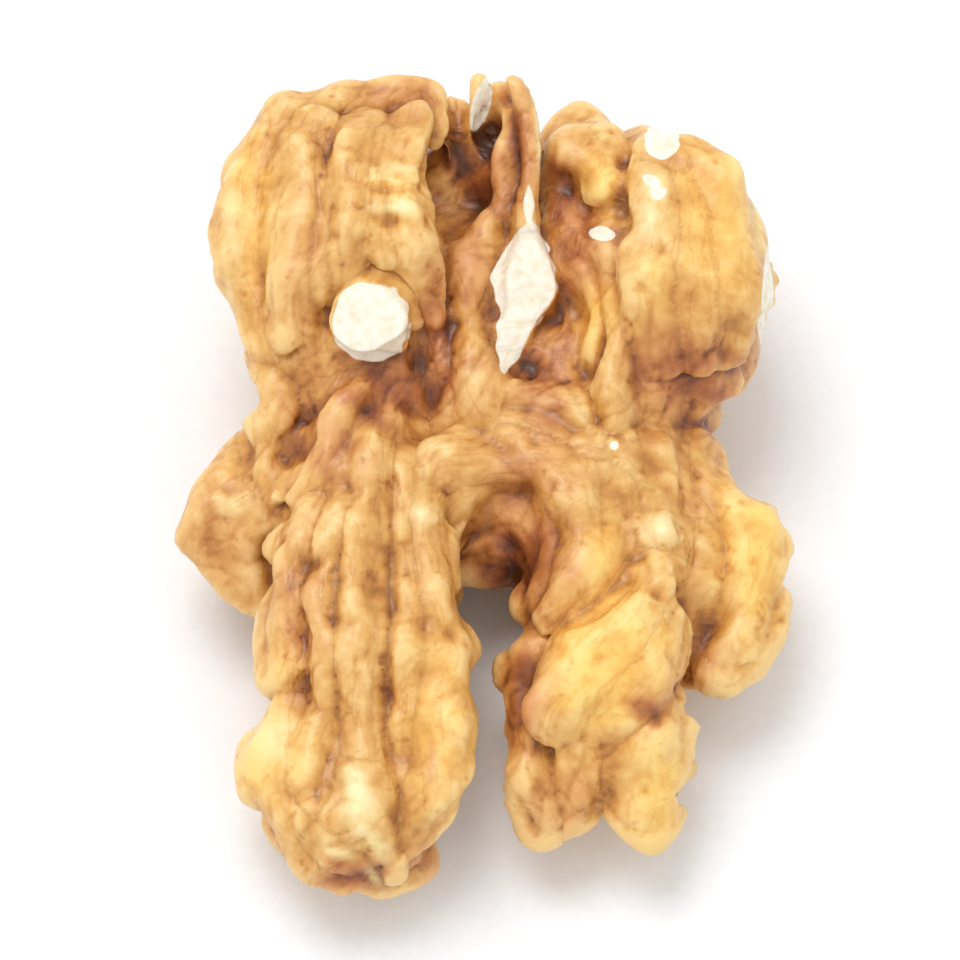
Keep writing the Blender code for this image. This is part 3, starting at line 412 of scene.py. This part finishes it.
GOLD = [
    (-10.4, 12.8, 1.2, 4.4, -8, 0.8), (10.6, 12.0, 2.4, 4.0, 0, 0.8), (12.2, -2.4, 1.6, 4.6, 6, 1.0),
    (5.4, -8.0, 3.0, 3.4, -25, 1.1), (5.3, -3.6, 0.9, 2.2, 0, 0.9), (-9.2, -11.8, 1.7, 2.2, 0, 1.0),
    (7.8, -13.6, 1.3, 3.0, 0, 0.8), (-2.0, -10.4, 1.5, 4.0, 0, 0.6), (-8.6, -8.2, 1.2, 1.6, 0, 0.6),
    (-3.9, 13.0, 1.2, 2.0, 0, 0.5), (7.8, 8.9, 1.1, 1.6, 0, 0.6), (5.0, 7.6, 0.9, 1.9, 0, 1.0),
    (5.4, 13.2, 1.3, 1.5, 0, 0.9),
]
PATCHES = {"pale_and_highlights": PALE_AND_HIGHLIGHTS, "stain_and_shade": STAIN_AND_SHADE, "shade_and_specks": SHADE_AND_SPECKS, "gold": GOLD}


def in_space(row):
    """A row as x, y, z and radius: up loses what its height adds to it, and is spread over the table."""
    across, up, height, radius = row
    y = (up - (height - EYE_HEIGHT) * math.cos(SIGHT)) / math.sin(SIGHT)
    return across, y, height, radius


def smooth_path(rows):
    """Points of the Catmull-Rom curve through the rows, whose first and last row count twice."""
    p = np.array([rows[0]] + list(rows) + [rows[-1]], float)
    t = np.linspace(0, 1, PATH_STEPS, endpoint=False)[:, None]
    spans = [
        0.5 * (2 * b + (c - a) * t + (2 * a - 5 * b + 4 * c - d) * t**2 + (3 * b - a - 3 * c + d) * t**3)
        for a, b, c, d in zip(p[:-3], p[1:-2], p[2:-1], p[3:])
    ]
    return np.vstack(spans + [p[-1:]])


def ridge(path):
    """A round tube along the path: rings square to it, with each end closed by rings on a quarter circle."""
    angles = np.array(DOME_ANGLES)[:, None]
    first, last = path[:1], path[-1:]
    into = (path[1, :3] - path[0, :3]) / np.linalg.norm(path[1, :3] - path[0, :3])
    out = (path[-1, :3] - path[-2, :3]) / np.linalg.norm(path[-1, :3] - path[-2, :3])
    start = np.hstack([first[:, :3] - into * first[:, 3] * np.sin(angles), first[:, 3] * np.cos(angles)])
    end = np.hstack([last[:, :3] + out * last[:, 3] * np.sin(angles), last[:, 3] * np.cos(angles)])
    rows = np.vstack([start[::-1], path, end])
    way = np.gradient(rows[:, :3], axis=0)
    way /= np.linalg.norm(way, axis=1)[:, None]
    side = np.cross(way, np.where(np.abs(way[:, 2:]) > STEEP, (1.0, 0.0, 0.0), (0.0, 0.0, 1.0)))
    side /= np.linalg.norm(side, axis=1)[:, None]
    top = np.cross(side, way)
    turn = np.linspace(0, 2 * math.pi, RIDGE_SIDES, endpoint=False)[None, :, None]
    spokes = side[:, None] * np.cos(turn) + top[:, None] * np.sin(turn)
    return rows[:, None, :3] + rows[:, None, 3:] * spokes


def joined_tubes(tubes):
    """One mesh of all the tubes: four-sided faces between rings, and one face over each end."""
    points, faces, start = [], [], 0
    for rings in tubes:
        count, sides = rings.shape[:2]
        index = start + np.arange(count * sides).reshape(count, sides)
        beside = np.roll(index, -1, 1)
        quads = np.stack([index[:-1], beside[:-1], beside[1:], index[1:]], -1).reshape(-1, 4)
        faces += quads.tolist() + [index[0, ::-1].tolist(), index[-1].tolist()]
        points.append(rings.reshape(-1, 3))
        start += count * sides
    mesh = bpy.data.meshes.new("ridges")
    mesh.from_pydata(np.vstack(points).tolist(), [], faces)
    return mesh


def mesh_of(mesh, modifiers):
    """The mesh that the modifiers make of it; each is given as its type and settings."""
    obj = bpy.data.objects.new("work", mesh)
    bpy.context.scene.collection.objects.link(obj)
    for kind, settings in modifiers:
        modifier = obj.modifiers.new(kind.title(), kind)
        for key, value in settings.items():
            setattr(modifier, key, value)
    graph = bpy.context.evaluated_depsgraph_get()
    result = bpy.data.meshes.new_from_object(obj.evaluated_get(graph))
    bpy.data.objects.remove(obj)
    return result


def vectors(items, key):
    """One row of three numbers for each item."""
    values = np.empty(len(items) * 3, np.float32)
    items.foreach_get(key, values)
    return values.reshape(-1, 3).astype(float)


def put_points(mesh, points):
    """Moves the mesh's points to these."""
    mesh.vertices.foreach_set("co", points.astype(np.float32).ravel())
    mesh.update()


def waves(points, length, seed):
    """A random field of one wavelength: a sum of cosine waves in random directions, about -1 to 1."""
    draw = np.random.default_rng(seed)
    way = draw.normal(size=(WAVE_COUNT, 3))
    way *= 2 * math.pi / length / np.linalg.norm(way, axis=1)[:, None]
    start = draw.uniform(0, 2 * math.pi, WAVE_COUNT)
    return np.cos(points @ way.T + start).sum(1) / math.sqrt(WAVE_COUNT / 2)


def path_gap(points, path):
    """For each point, its distance to the path over the width of the path there."""
    least = np.full(len(points), np.inf)
    for a, b in zip(path[:-1], path[1:]):
        along = b[:3] - a[:3]
        t = np.clip((points - a[:3]) @ along / max(along @ along, 1e-9), 0, 1)
        gap = np.linalg.norm(points - a[:3] - t[:, None] * along, axis=1)
        least = np.minimum(least, gap / (a[3] + t * (b[3] - a[3])))
    return least


def drop_crumbs(mesh):
    """Keeps the largest body: points pass the lowest number among neighbours on until each body has one."""
    pairs = np.empty(len(mesh.edges) * 2, np.int64)
    mesh.edges.foreach_get("vertices", pairs)
    a, b = pairs.reshape(-1, 2).T
    label = np.arange(len(mesh.vertices))
    settled = False
    while not settled:
        lower = label.copy()
        np.minimum.at(lower, a, label[b])
        np.minimum.at(lower, b, label[a])
        lower = lower[lower]
        settled = (lower == label).all()
        label = lower
    shape = bmesh.new()
    shape.from_mesh(mesh)
    keep = np.bincount(label).argmax()
    crumbs = [v for v, number in zip(shape.verts, label) if number != keep]
    bmesh.ops.delete(shape, geom=crumbs, context="VERTS")
    shape.to_mesh(mesh)
    shape.free()


def along_folds(points, paths):
    """For each point, how far round and how far along its nearest ridge it lies, and that ridge's number."""
    best = np.full(len(points), np.inf)
    place = np.zeros((len(points), 3))
    for number, path in enumerate(paths):
        run = 0.0
        for a, b in zip(path[:-1], path[1:]):
            span = b[:3] - a[:3]
            length = max(np.linalg.norm(span), 1e-6)
            way = span / length
            side = np.cross(way, (0, 0, 1))
            t = np.clip((points - a[:3]) @ way / length, 0, 1)
            off = points - a[:3] - t[:, None] * span
            gap = np.linalg.norm(off, axis=1) - a[3]
            nearer = gap < best
            best[nearer] = gap[nearer]
            place[nearer] = np.stack([off @ side, run + t * length, np.full(len(t), number)], 1)[nearer]
            run += length
    return place


def fade(values, ends):
    """0 at the first of the two ends and 1 at the second, in a straight line between them."""
    return np.clip((values - ends[0]) / (ends[1] - ends[0]), 0, 1)


def clear_of_feet(points):
    """0 on the folds that it stands on, which keep their height, and 1 a little way off them."""
    share = np.ones(len(points))
    for rows in FEET.values():
        share *= fade(path_gap(points, smooth_path(rows)), FOOT_EDGE)
    return share


def between_valleys(field, roundness, level):
    """Round ridges between the valleys where the field is 0: a power of its size, less the level."""
    return np.minimum(np.abs(field), 1) ** roundness - level


def winding_folds(points, slope):
    """Height of the folds of the outer side: round ridges between narrow valleys that wind about."""
    bent = points + FOLD_BEND * np.stack([waves(points, BEND_LENGTH, seed) for seed in BEND_SEEDS], 1)
    share = fade(slope, OUTER_SLOPE) * fade(points[:, 2], OUTER_HEIGHT)
    folds = between_valleys(waves(bent, 2 * FOLD_PITCH, VALLEY_SEED), FOLD_ROUNDNESS, FOLD_LEVEL)
    return share * FOLD_DEPTH * folds


def main_relief(points, normals):
    """Out for the folds of the outer side and small swellings, in for the creases."""
    lift = winding_folds(points, normals[:, 2])
    lift += sum(height * waves(points, length, seed) for height, length, seed in SWELLS)
    lift *= fade(path_gap(points, smooth_path([in_space(r) for r in FOLDS["radicle"]])), SLENDER)
    lift *= clear_of_feet(points)
    creases = [smooth_path([in_space(r) for r in rows]) for rows in CREASES.values()]
    for path in creases + [smooth_path(SEAM)]:
        lift -= CREASE_DEPTH * path[:, 3].mean() * np.exp(-path_gap(points, path) ** 2)
    return lift


def wrinkles(points, place):
    """Fine folds of the dried skin: sharp little valleys 0.7 mm apart along each ridge, and some across."""
    bent = place * WRINKLE_STRETCH + WRINKLE_BEND * waves(points, *WRINKLE_BEND_WAVE)[:, None]
    lines = between_valleys(waves(bent, *WRINKLE_WAVE), WRINKLE_ROUNDNESS, WRINKLE_LEVEL)
    cross = between_valleys(waves(points, *CROSS_WAVE), WRINKLE_ROUNDNESS, WRINKLE_LEVEL)
    return WRINKLE_HEIGHT * lines + CROSS_HEIGHT * cross


def pits(points):
    """Depth of small round pits at random spots of the skin: a bell curve over each."""
    draw = np.random.default_rng(PIT_SEED)
    spots = points[draw.integers(0, len(points), PITS)]
    widths = draw.uniform(*PIT_WIDTHS, PITS)
    depth = np.zeros(len(points))
    for spot, width in zip(spots, widths):
        depth = np.maximum(depth, PIT_DEPTH * width * np.exp(-((points - spot) ** 2).sum(1) / width**2))
    return depth


def sight_plane(points):
    """Across and up of each point, as seen along the line of sight."""
    up = points[:, 1] * math.sin(SIGHT) + (points[:, 2] - EYE_HEIGHT) * math.cos(SIGHT)
    return points[:, 0], up


def spot_gap(points, row, roundness=2.0):
    """Distance from the middle of a spot as a share of its size: a power mean over its two directions."""
    across, up = sight_plane(points)
    x, v, half_width, half_length, turn = row
    c, s = math.cos(math.radians(turn)), math.sin(math.radians(turn))
    a = np.abs((across - x) * c - (up - v) * s) / half_width
    b = np.abs((across - x) * s + (up - v) * c) / half_length
    return (a**roundness + b**roundness) ** (1 / roundness)


def bare_meat(points, facing):
    """Above 0.5 inside a spot of white meat and under it outside, with a slightly crumbled edge."""
    total = np.zeros(len(points))
    crumble = CRUMBLE * waves(points, *CRUMBLE_WAVE)
    for *row, roundness in CHALK:
        narrow = min(row[2], row[3])
        inwards = 1 - spot_gap(points, row, roundness) + crumble
        total = np.maximum(total, 0.5 + inwards * narrow / CHALK_EDGE)
    return np.clip(total, 0, 1) * fade(facing, BARE_FACING)


def soft_patches(points, facing, rows, ragged):
    """How strongly the patches take each point: the highest of their flat-topped bell curves there."""
    total = np.zeros(len(points))
    for *row, strength in rows:
        gap = np.maximum(spot_gap(points, row) + ragged, 0)
        total = np.maximum(total, strength * np.exp(-PATCH_FALL * gap**PATCH_POWER))
    return total * fade(facing, PATCH_FACING)


def flatten_breaks(points):
    """Presses what stands over the plane of a break nearly back to that plane."""
    for across, up, height, *size in BREAKS:
        level = np.array(in_space((across, up, height, 0))[:3]) @ TO_EYE
        inside = fade(spot_gap(points, (across, up, *size)), BREAK_EDGE)
        over = np.maximum(points @ TO_EYE - level, 0) * inside
        points = points - BREAK_PRESS * over[:, None] * TO_EYE
    return points


def evened_out(mesh, times):
    """Its points after each has moved that many times towards the middle of its neighbours."""
    return vectors(mesh_of(mesh, [("SMOOTH", {"factor": EVEN_OUT, "iterations": times})]).vertices, "co")


def smooth_lobes(mesh):
    """Moves the plump lobes towards the skin smoothed many times, by a bell curve over each."""
    points = vectors(mesh.vertices, "co")
    share = soft_patches(points, vectors(mesh.vertices, "normal") @ TO_EYE + PLUMP_REACH, PLUMP, 0)
    return points + share[:, None] * (evened_out(mesh, PLUMP_TIMES) - points), share


def put_attribute(mesh, name, values):
    """Stores one number a point under a name that the material reads."""
    mesh.attributes.new(name, "FLOAT", "POINT").data.foreach_set("value", values.astype(np.float32))


def fused_ridges(paths):
    """One body of the ridges along all the paths."""
    fuse = ("REMESH", {"mode": "VOXEL", "voxel_size": CELL})
    soften = ("SMOOTH", {"factor": SOFTEN, "iterations": SOFTEN_TIMES})
    mesh = mesh_of(joined_tubes([ridge(path) for path in paths]), [fuse, soften])
    drop_crumbs(mesh)
    return mesh


def shape_skin(mesh, place):
    """Shapes the skin in two passes: the large relief and the flat breaks, then the wrinkles and pits."""
    points, normals = vectors(mesh.vertices, "co"), vectors(mesh.vertices, "normal")
    points = points + normals * main_relief(points, normals)[:, None]
    wander = np.stack([waves(points, WANDER_LENGTH, seed) for seed in WANDER_SEEDS], 1)
    points = points + WANDER * clear_of_feet(points)[:, None] * wander
    put_points(mesh, flatten_breaks(points))
    points, plump = smooth_lobes(mesh)
    put_points(mesh, points)
    chalk = bare_meat(points, np.ones(len(points)))
    fine = wrinkles(points, place) * (1 - CALM * chalk) * (1 - CALM * plump) - pits(points) * (1 - chalk)
    put_points(mesh, points + vectors(mesh.vertices, "normal") * fine[:, None])


def colour_guides(mesh, place):
    """Stores what the skin's colours follow: patches, some of painted shade and painted highlights, how
    hollow the skin is for painted shade, and the place along a fold.
    """
    points, normals = vectors(mesh.vertices, "co"), vectors(mesh.vertices, "normal")
    facing = normals @ TO_EYE
    along = mesh.attributes.new("along_fold", "FLOAT_VECTOR", "POINT")
    along.data.foreach_set("vector", (place * (MM, MM, FOLD_APART * MM)).astype(np.float32).ravel())
    put_attribute(mesh, "chalk", bare_meat(points, facing))
    ragged = RAGGED * waves(points, *RAGGED_WAVE)
    for name, rows in PATCHES.items():
        put_attribute(mesh, name, soft_patches(points, facing, rows, ragged))
    # A point is hollow by as much as it lies under the smoothed skin; the colour paints shade by it in
    # hollows and light on crests
    for name, times in HOLLOW_SHADING.items():
        put_attribute(mesh, name, ((evened_out(mesh, times) - points) * normals).sum(1))
    put_attribute(mesh, "outer", fade(facing, OUTER_FACING))


def kernel_mesh():
    """The fused ridges of both sides with their skin shaped and their colour guides stored."""
    masses = [smooth_path([in_space(r) for r in rows]) for rows in CORES.values()]
    folds = [smooth_path([in_space(r) for r in rows]) for rows in FOLDS.values()]
    feet = [smooth_path(rows) for rows in FEET.values()]
    mesh = fused_ridges(masses + folds + feet)
    place = along_folds(vectors(mesh.vertices, "co"), folds)
    shape_skin(mesh, place)
    colour_guides(mesh, place)
    return mesh


def lay_down(mesh):
    """Turns the body to rest, puts it in the solid part's box, presses its feet flat and makes it metres."""
    mesh.transform(Euler(SETTLE).to_matrix().to_4x4())
    points = vectors(mesh.vertices, "co")
    low, high = (np.array(c) / MM for c in CAD_BOX)
    middle = (points.min(0) + points.max(0)) / 2
    shift = np.append(((low + high) / 2 - middle)[:2], high[2] - points[:, 2].max())
    points += shift
    points[:, 2] = np.maximum(points[:, 2], 0)
    put_points(mesh, points * MM)


def linear(code):
    """An sRGB hex colour as linear red, green, blue and alpha."""
    parts = [int(code[i:i + 2], 16) / 255 for i in (1, 3, 5)]
    return tuple(c / 12.92 if c <= 0.04045 else ((c + 0.055) / 1.055) ** 2.4 for c in parts) + (1.0,)


def per(mm):
    """The scale of a pattern whose repeats are that many millimetres apart, on coordinates in metres."""
    return 1000 / mm


def node(tree, kind, links=None, out=0, stops=(), **settings):
    """Adds a node with its settings, links and colour stops, and gives one of its outputs."""
    made = tree.nodes.new(kind)
    for key, value in settings.items():
        setattr(made, key, value)
    for name, value in (links or {}).items():
        if isinstance(value, bpy.types.NodeSocket):
            tree.links.new(value, made.inputs[name])
        else:
            made.inputs[name].default_value = value
    for _ in range(2, len(stops)):
        made.color_ramp.elements.new(0.5)
    for element, (position, code) in zip(made.color_ramp.elements if stops else (), stops):
        element.position = position
        element.color = linear(code)
    return made.outputs[out]


def new_material(name, values):
    """A material with these values on its surface node, its tree and that node's inputs."""
    material = bpy.data.materials.new(name)
    material.use_nodes = True
    inputs = material.node_tree.nodes["Principled BSDF"].inputs
    for key, value in values.items():
        inputs[key].default_value = value
    return material, material.node_tree, inputs


def seed_skin():
    """Dried walnut skin, papery and a little oily: golden on swellings, reddish in folds, with painted shade
    in hollows and painted light on crests.
    """
    material, tree, inputs = new_material("dried_seed_skin", {
        "IOR": 1.46, "Subsurface Weight": 0.12, "Subsurface Radius": (1.0, 0.5, 0.22),
        "Subsurface Scale": 0.0012, "Coat Weight": 0.12, "Coat Roughness": 0.28,
    })
    place = node(tree, "ShaderNodeTexCoord", out="Object")
    guide = {
        name: node(tree, "ShaderNodeAttribute", out="Fac", attribute_name=name)
        for name in ("chalk", "outer", *PATCHES, *HOLLOW_SHADING)
    }
    fold = node(tree, "ShaderNodeAttribute", out="Vector", attribute_name="along_fold")
    along = node(tree, "ShaderNodeMapping", {"Vector": fold, "Scale": (1.0, 0.35, 1.0)})

    # Cloudy tone changes from fold to fold and within a fold, and the grain of the dried cells
    broad = node(tree, "ShaderNodeTexNoise", {"Vector": place, "Scale": per(8.0), "Detail": 2})
    cloud = node(tree, "ShaderNodeTexNoise", {"Vector": place, "Scale": per(2.2), "Detail": 4})
    mottle = node(tree, "ShaderNodeTexNoise", {"Vector": place, "Scale": per(1.0), "Detail": 3})
    grain = node(tree, "ShaderNodeTexNoise", {"Vector": place, "Scale": per(0.45), "Detail": 5})
    # Thin veins follow the folds where a noise crosses its middle value
    vein_noise = node(tree, "ShaderNodeTexNoise", {"Vector": along, "Scale": per(1.3), "Detail": 3})
    vein_away = node(tree, "ShaderNodeMath", {0: vein_noise, 1: 0.5}, operation="SUBTRACT")
    vein_width = node(tree, "ShaderNodeMath", {0: vein_away}, operation="ABSOLUTE")
    veins = node(tree, "ShaderNodeMapRange",
                 {"Value": vein_width, "From Max": 0.03, "To Min": 1.0, "To Max": 0.0})
    # Small brown specks lie 1 mm apart or so
    speck_noise = node(tree, "ShaderNodeTexNoise", {"Vector": place, "Scale": per(0.8), "Detail": 2})
    specks = node(tree, "ShaderNodeMapRange",
                  {"Value": speck_noise, "From Min": 0.27, "From Max": 0.36, "To Min": 1.0, "To Max": 0.0})

    # The tone is a weighed sum: painted shade in hollows and painted light on crests, darker in veins,
    # specks, stains and patches of painted shade, lighter on the gold
    tone = -0.025
    for value, share in (
        (guide["fold_hollow_shade"], -0.34), (guide["groove_hollow_shade"], -0.5), (guide["fine_hollow_shade"], -2.6),
        (broad, 0.30), (cloud, 0.40), (mottle, 0.42), (grain, 0.34), (veins, -0.08), (specks, -0.20),
        (guide["gold"], 0.10), (guide["stain_and_shade"], -0.16), (guide["shade_and_specks"], -0.30), (guide["outer"], -0.05),
    ):
        tone = node(tree, "ShaderNodeMath", {0: value, 1: share, 2: tone}, operation="MULTIPLY_ADD")
    skin = node(tree, "ShaderNodeValToRGB", {"Fac": tone}, stops=[
        (0.00, "#5C3214"), (0.20, "#82491E"), (0.38, "#AB6F2F"), (0.54, "#C88B43"),
        (0.68, "#D7A055"), (0.82, "#E3B269"), (1.00, "#F1CB88"),
    ])
    # Reddish browns for the stains and for painted shade
    reddish_browns = node(tree, "ShaderNodeValToRGB", {"Fac": tone}, stops=[
        (0.05, "#4A2412"), (0.30, "#864824"), (0.55, "#B26A3A"), (0.85, "#D8965E"),
    ])
    honey = node(tree, "ShaderNodeValToRGB", {"Fac": tone}, stops=[
        (0.20, "#A26129"), (0.50, "#D8963F"), (0.70, "#EBB050"), (1.00, "#FAD478"),
    ])
    meat = node(tree, "ShaderNodeValToRGB", {"Fac": grain}, stops=[
        (0.30, "#E8DEC4"), (0.45, "#F1E9D4"), (0.60, "#F7F2E3"),
    ])
    golden = node(tree, "ShaderNodeMix", {0: guide["gold"], 6: skin, 7: honey}, out=2, data_type="RGBA")
    stained_and_shaded = node(tree, "ShaderNodeMix", {0: guide["stain_and_shade"], 6: golden, 7: reddish_browns}, out=2, data_type="RGBA")
    # Pale tones for rubbed places and for painted highlights
    pale = node(tree, "ShaderNodeValToRGB", {"Fac": tone}, stops=[
        (0.2, "#B98A4C"), (0.6, "#F0D68E"), (0.9, "#FDEBB6"),
    ])
    worn_and_highlit = node(tree, "ShaderNodeMix", {0: guide["pale_and_highlights"], 6: stained_and_shaded, 7: pale}, out=2, data_type="RGBA")
    # The skin is broken or rubbed off down to the white meat, with a slightly crumbled edge
    crumbled = node(tree, "ShaderNodeMath", {0: grain, 1: 0.12, 2: guide["chalk"]}, operation="MULTIPLY_ADD")
    bare = node(tree, "ShaderNodeMapRange", {"Value": crumbled, "From Min": 0.50, "From Max": 0.62})
    colour = node(tree, "ShaderNodeMix", {0: bare, 6: worn_and_highlit, 7: meat}, out=2, data_type="RGBA")
    tree.links.new(colour, inputs["Base Color"])

    polish = node(tree, "ShaderNodeMapRange",
                  {"Value": cloud, "From Min": 0.3, "From Max": 0.7, "To Min": 0.30, "To Max": 0.46})
    rough = node(tree, "ShaderNodeMath", {0: bare, 1: 0.3, 2: polish}, operation="MULTIPLY_ADD")
    tree.links.new(rough, inputs["Roughness"])
    tooth = node(tree, "ShaderNodeTexNoise", {"Vector": place, "Scale": per(0.18), "Detail": 2})
    ridged = node(tree, "ShaderNodeMath", {0: veins, 1: -0.35, 2: grain}, operation="MULTIPLY_ADD")
    height = node(tree, "ShaderNodeMath", {0: tooth, 1: 0.35, 2: ridged}, operation="MULTIPLY_ADD")
    bump = node(tree, "ShaderNodeBump", {"Strength": 0.5, "Distance": 0.00008, "Height": height})
    tree.links.new(bump, inputs["Normal"])
    return material


def matt_board():
    """Matt white board, which takes only a soft shadow."""
    material, tree, inputs = new_material("matt_white_board", {"Roughness": 0.8, "IOR": 1.3})
    place = node(tree, "ShaderNodeTexCoord", out="Object")
    tooth = node(tree, "ShaderNodeTexNoise", {"Vector": place, "Scale": per(0.6), "Detail": 2})
    paper = node(tree, "ShaderNodeValToRGB", {"Fac": tooth}, stops=[(0.3, "#F4F6F9"), (0.7, "#F7F9FC")])
    tree.links.new(paper, inputs["Base Color"])
    return material


def floor():
    """A wide square of board at height 0, for the kernel to lie on."""
    mesh = bpy.data.meshes.new("board")
    edge = 1.5
    corners = [(-edge, -edge, 0), (edge, -edge, 0), (edge, edge, 0), (-edge, edge, 0)]
    mesh.from_pydata(corners, [], [(0, 1, 2, 3)])
    mesh.materials.append(matt_board())
    board = bpy.data.objects.new("board", mesh)
    bpy.context.scene.collection.objects.link(board)


def pointed_at(obj, place, target):
    """Stands the object at the place, looking along its -Z at the target."""
    obj.location = place
    obj.rotation_euler = (Vector(target) - Vector(place)).to_track_quat("-Z", "Y").to_euler()
    bpy.context.scene.collection.objects.link(obj)


def soft_box(name, place, size, watts):
    """A round lamp that shines from the place towards the origin; a wide one throws soft shadows."""
    light = bpy.data.lights.new(name, "AREA")
    light.shape = "DISK"
    light.size = size
    light.energy = watts
    pointed_at(bpy.data.objects.new(name, light), place, (0, 0, 0))


def studio():
    """A pale room all round, a wide lamp high behind on the left and a weak one in front."""
    soft_box("high_left_light", place=(-0.09, 0.13, 0.40), size=0.26, watts=0.80)
    soft_box("front_light", place=(0.10, -0.36, 0.30), size=0.30, watts=0.08)
    world = bpy.data.worlds.new("pale_room")
    world.use_nodes = True
    room = world.node_tree.nodes["Background"].inputs
    room["Color"].default_value = linear("#FFFFFF")
    room["Strength"].default_value = 0.84
    bpy.context.scene.world = world
    bpy.context.scene.view_settings.view_transform = "Standard"


def camera():
    """Looks along the line of sight from far enough off that the kernel keeps its proportions."""
    distance = 0.32
    width = 0.0429  # of what the picture shows there
    data = bpy.data.cameras.new("camera")
    data.clip_start = 0.01
    data.lens = data.sensor_width * distance / width
    target = Vector((-0.0002, 0.0004, 0.0064))  # where the lists' origin lies, at EYE_HEIGHT, after lay_down
    eye = bpy.data.objects.new("camera", data)
    pointed_at(eye, target + Vector(TO_EYE) * distance, target)
    bpy.context.scene.camera = eye


def main():
    """The kernel with its skin, on the board, in the light and before the camera."""
    mesh = kernel_mesh()
    lay_down(mesh)
    mesh.materials.append(seed_skin())
    mesh.shade_smooth()
    kernel = bpy.data.objects.new("walnut_kernel", mesh)
    bpy.context.scene.collection.objects.link(kernel)
    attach(kernel, "root")
    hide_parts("kernel")
    floor()
    studio()
    camera()


main()
bpy.context.view_layer.update()
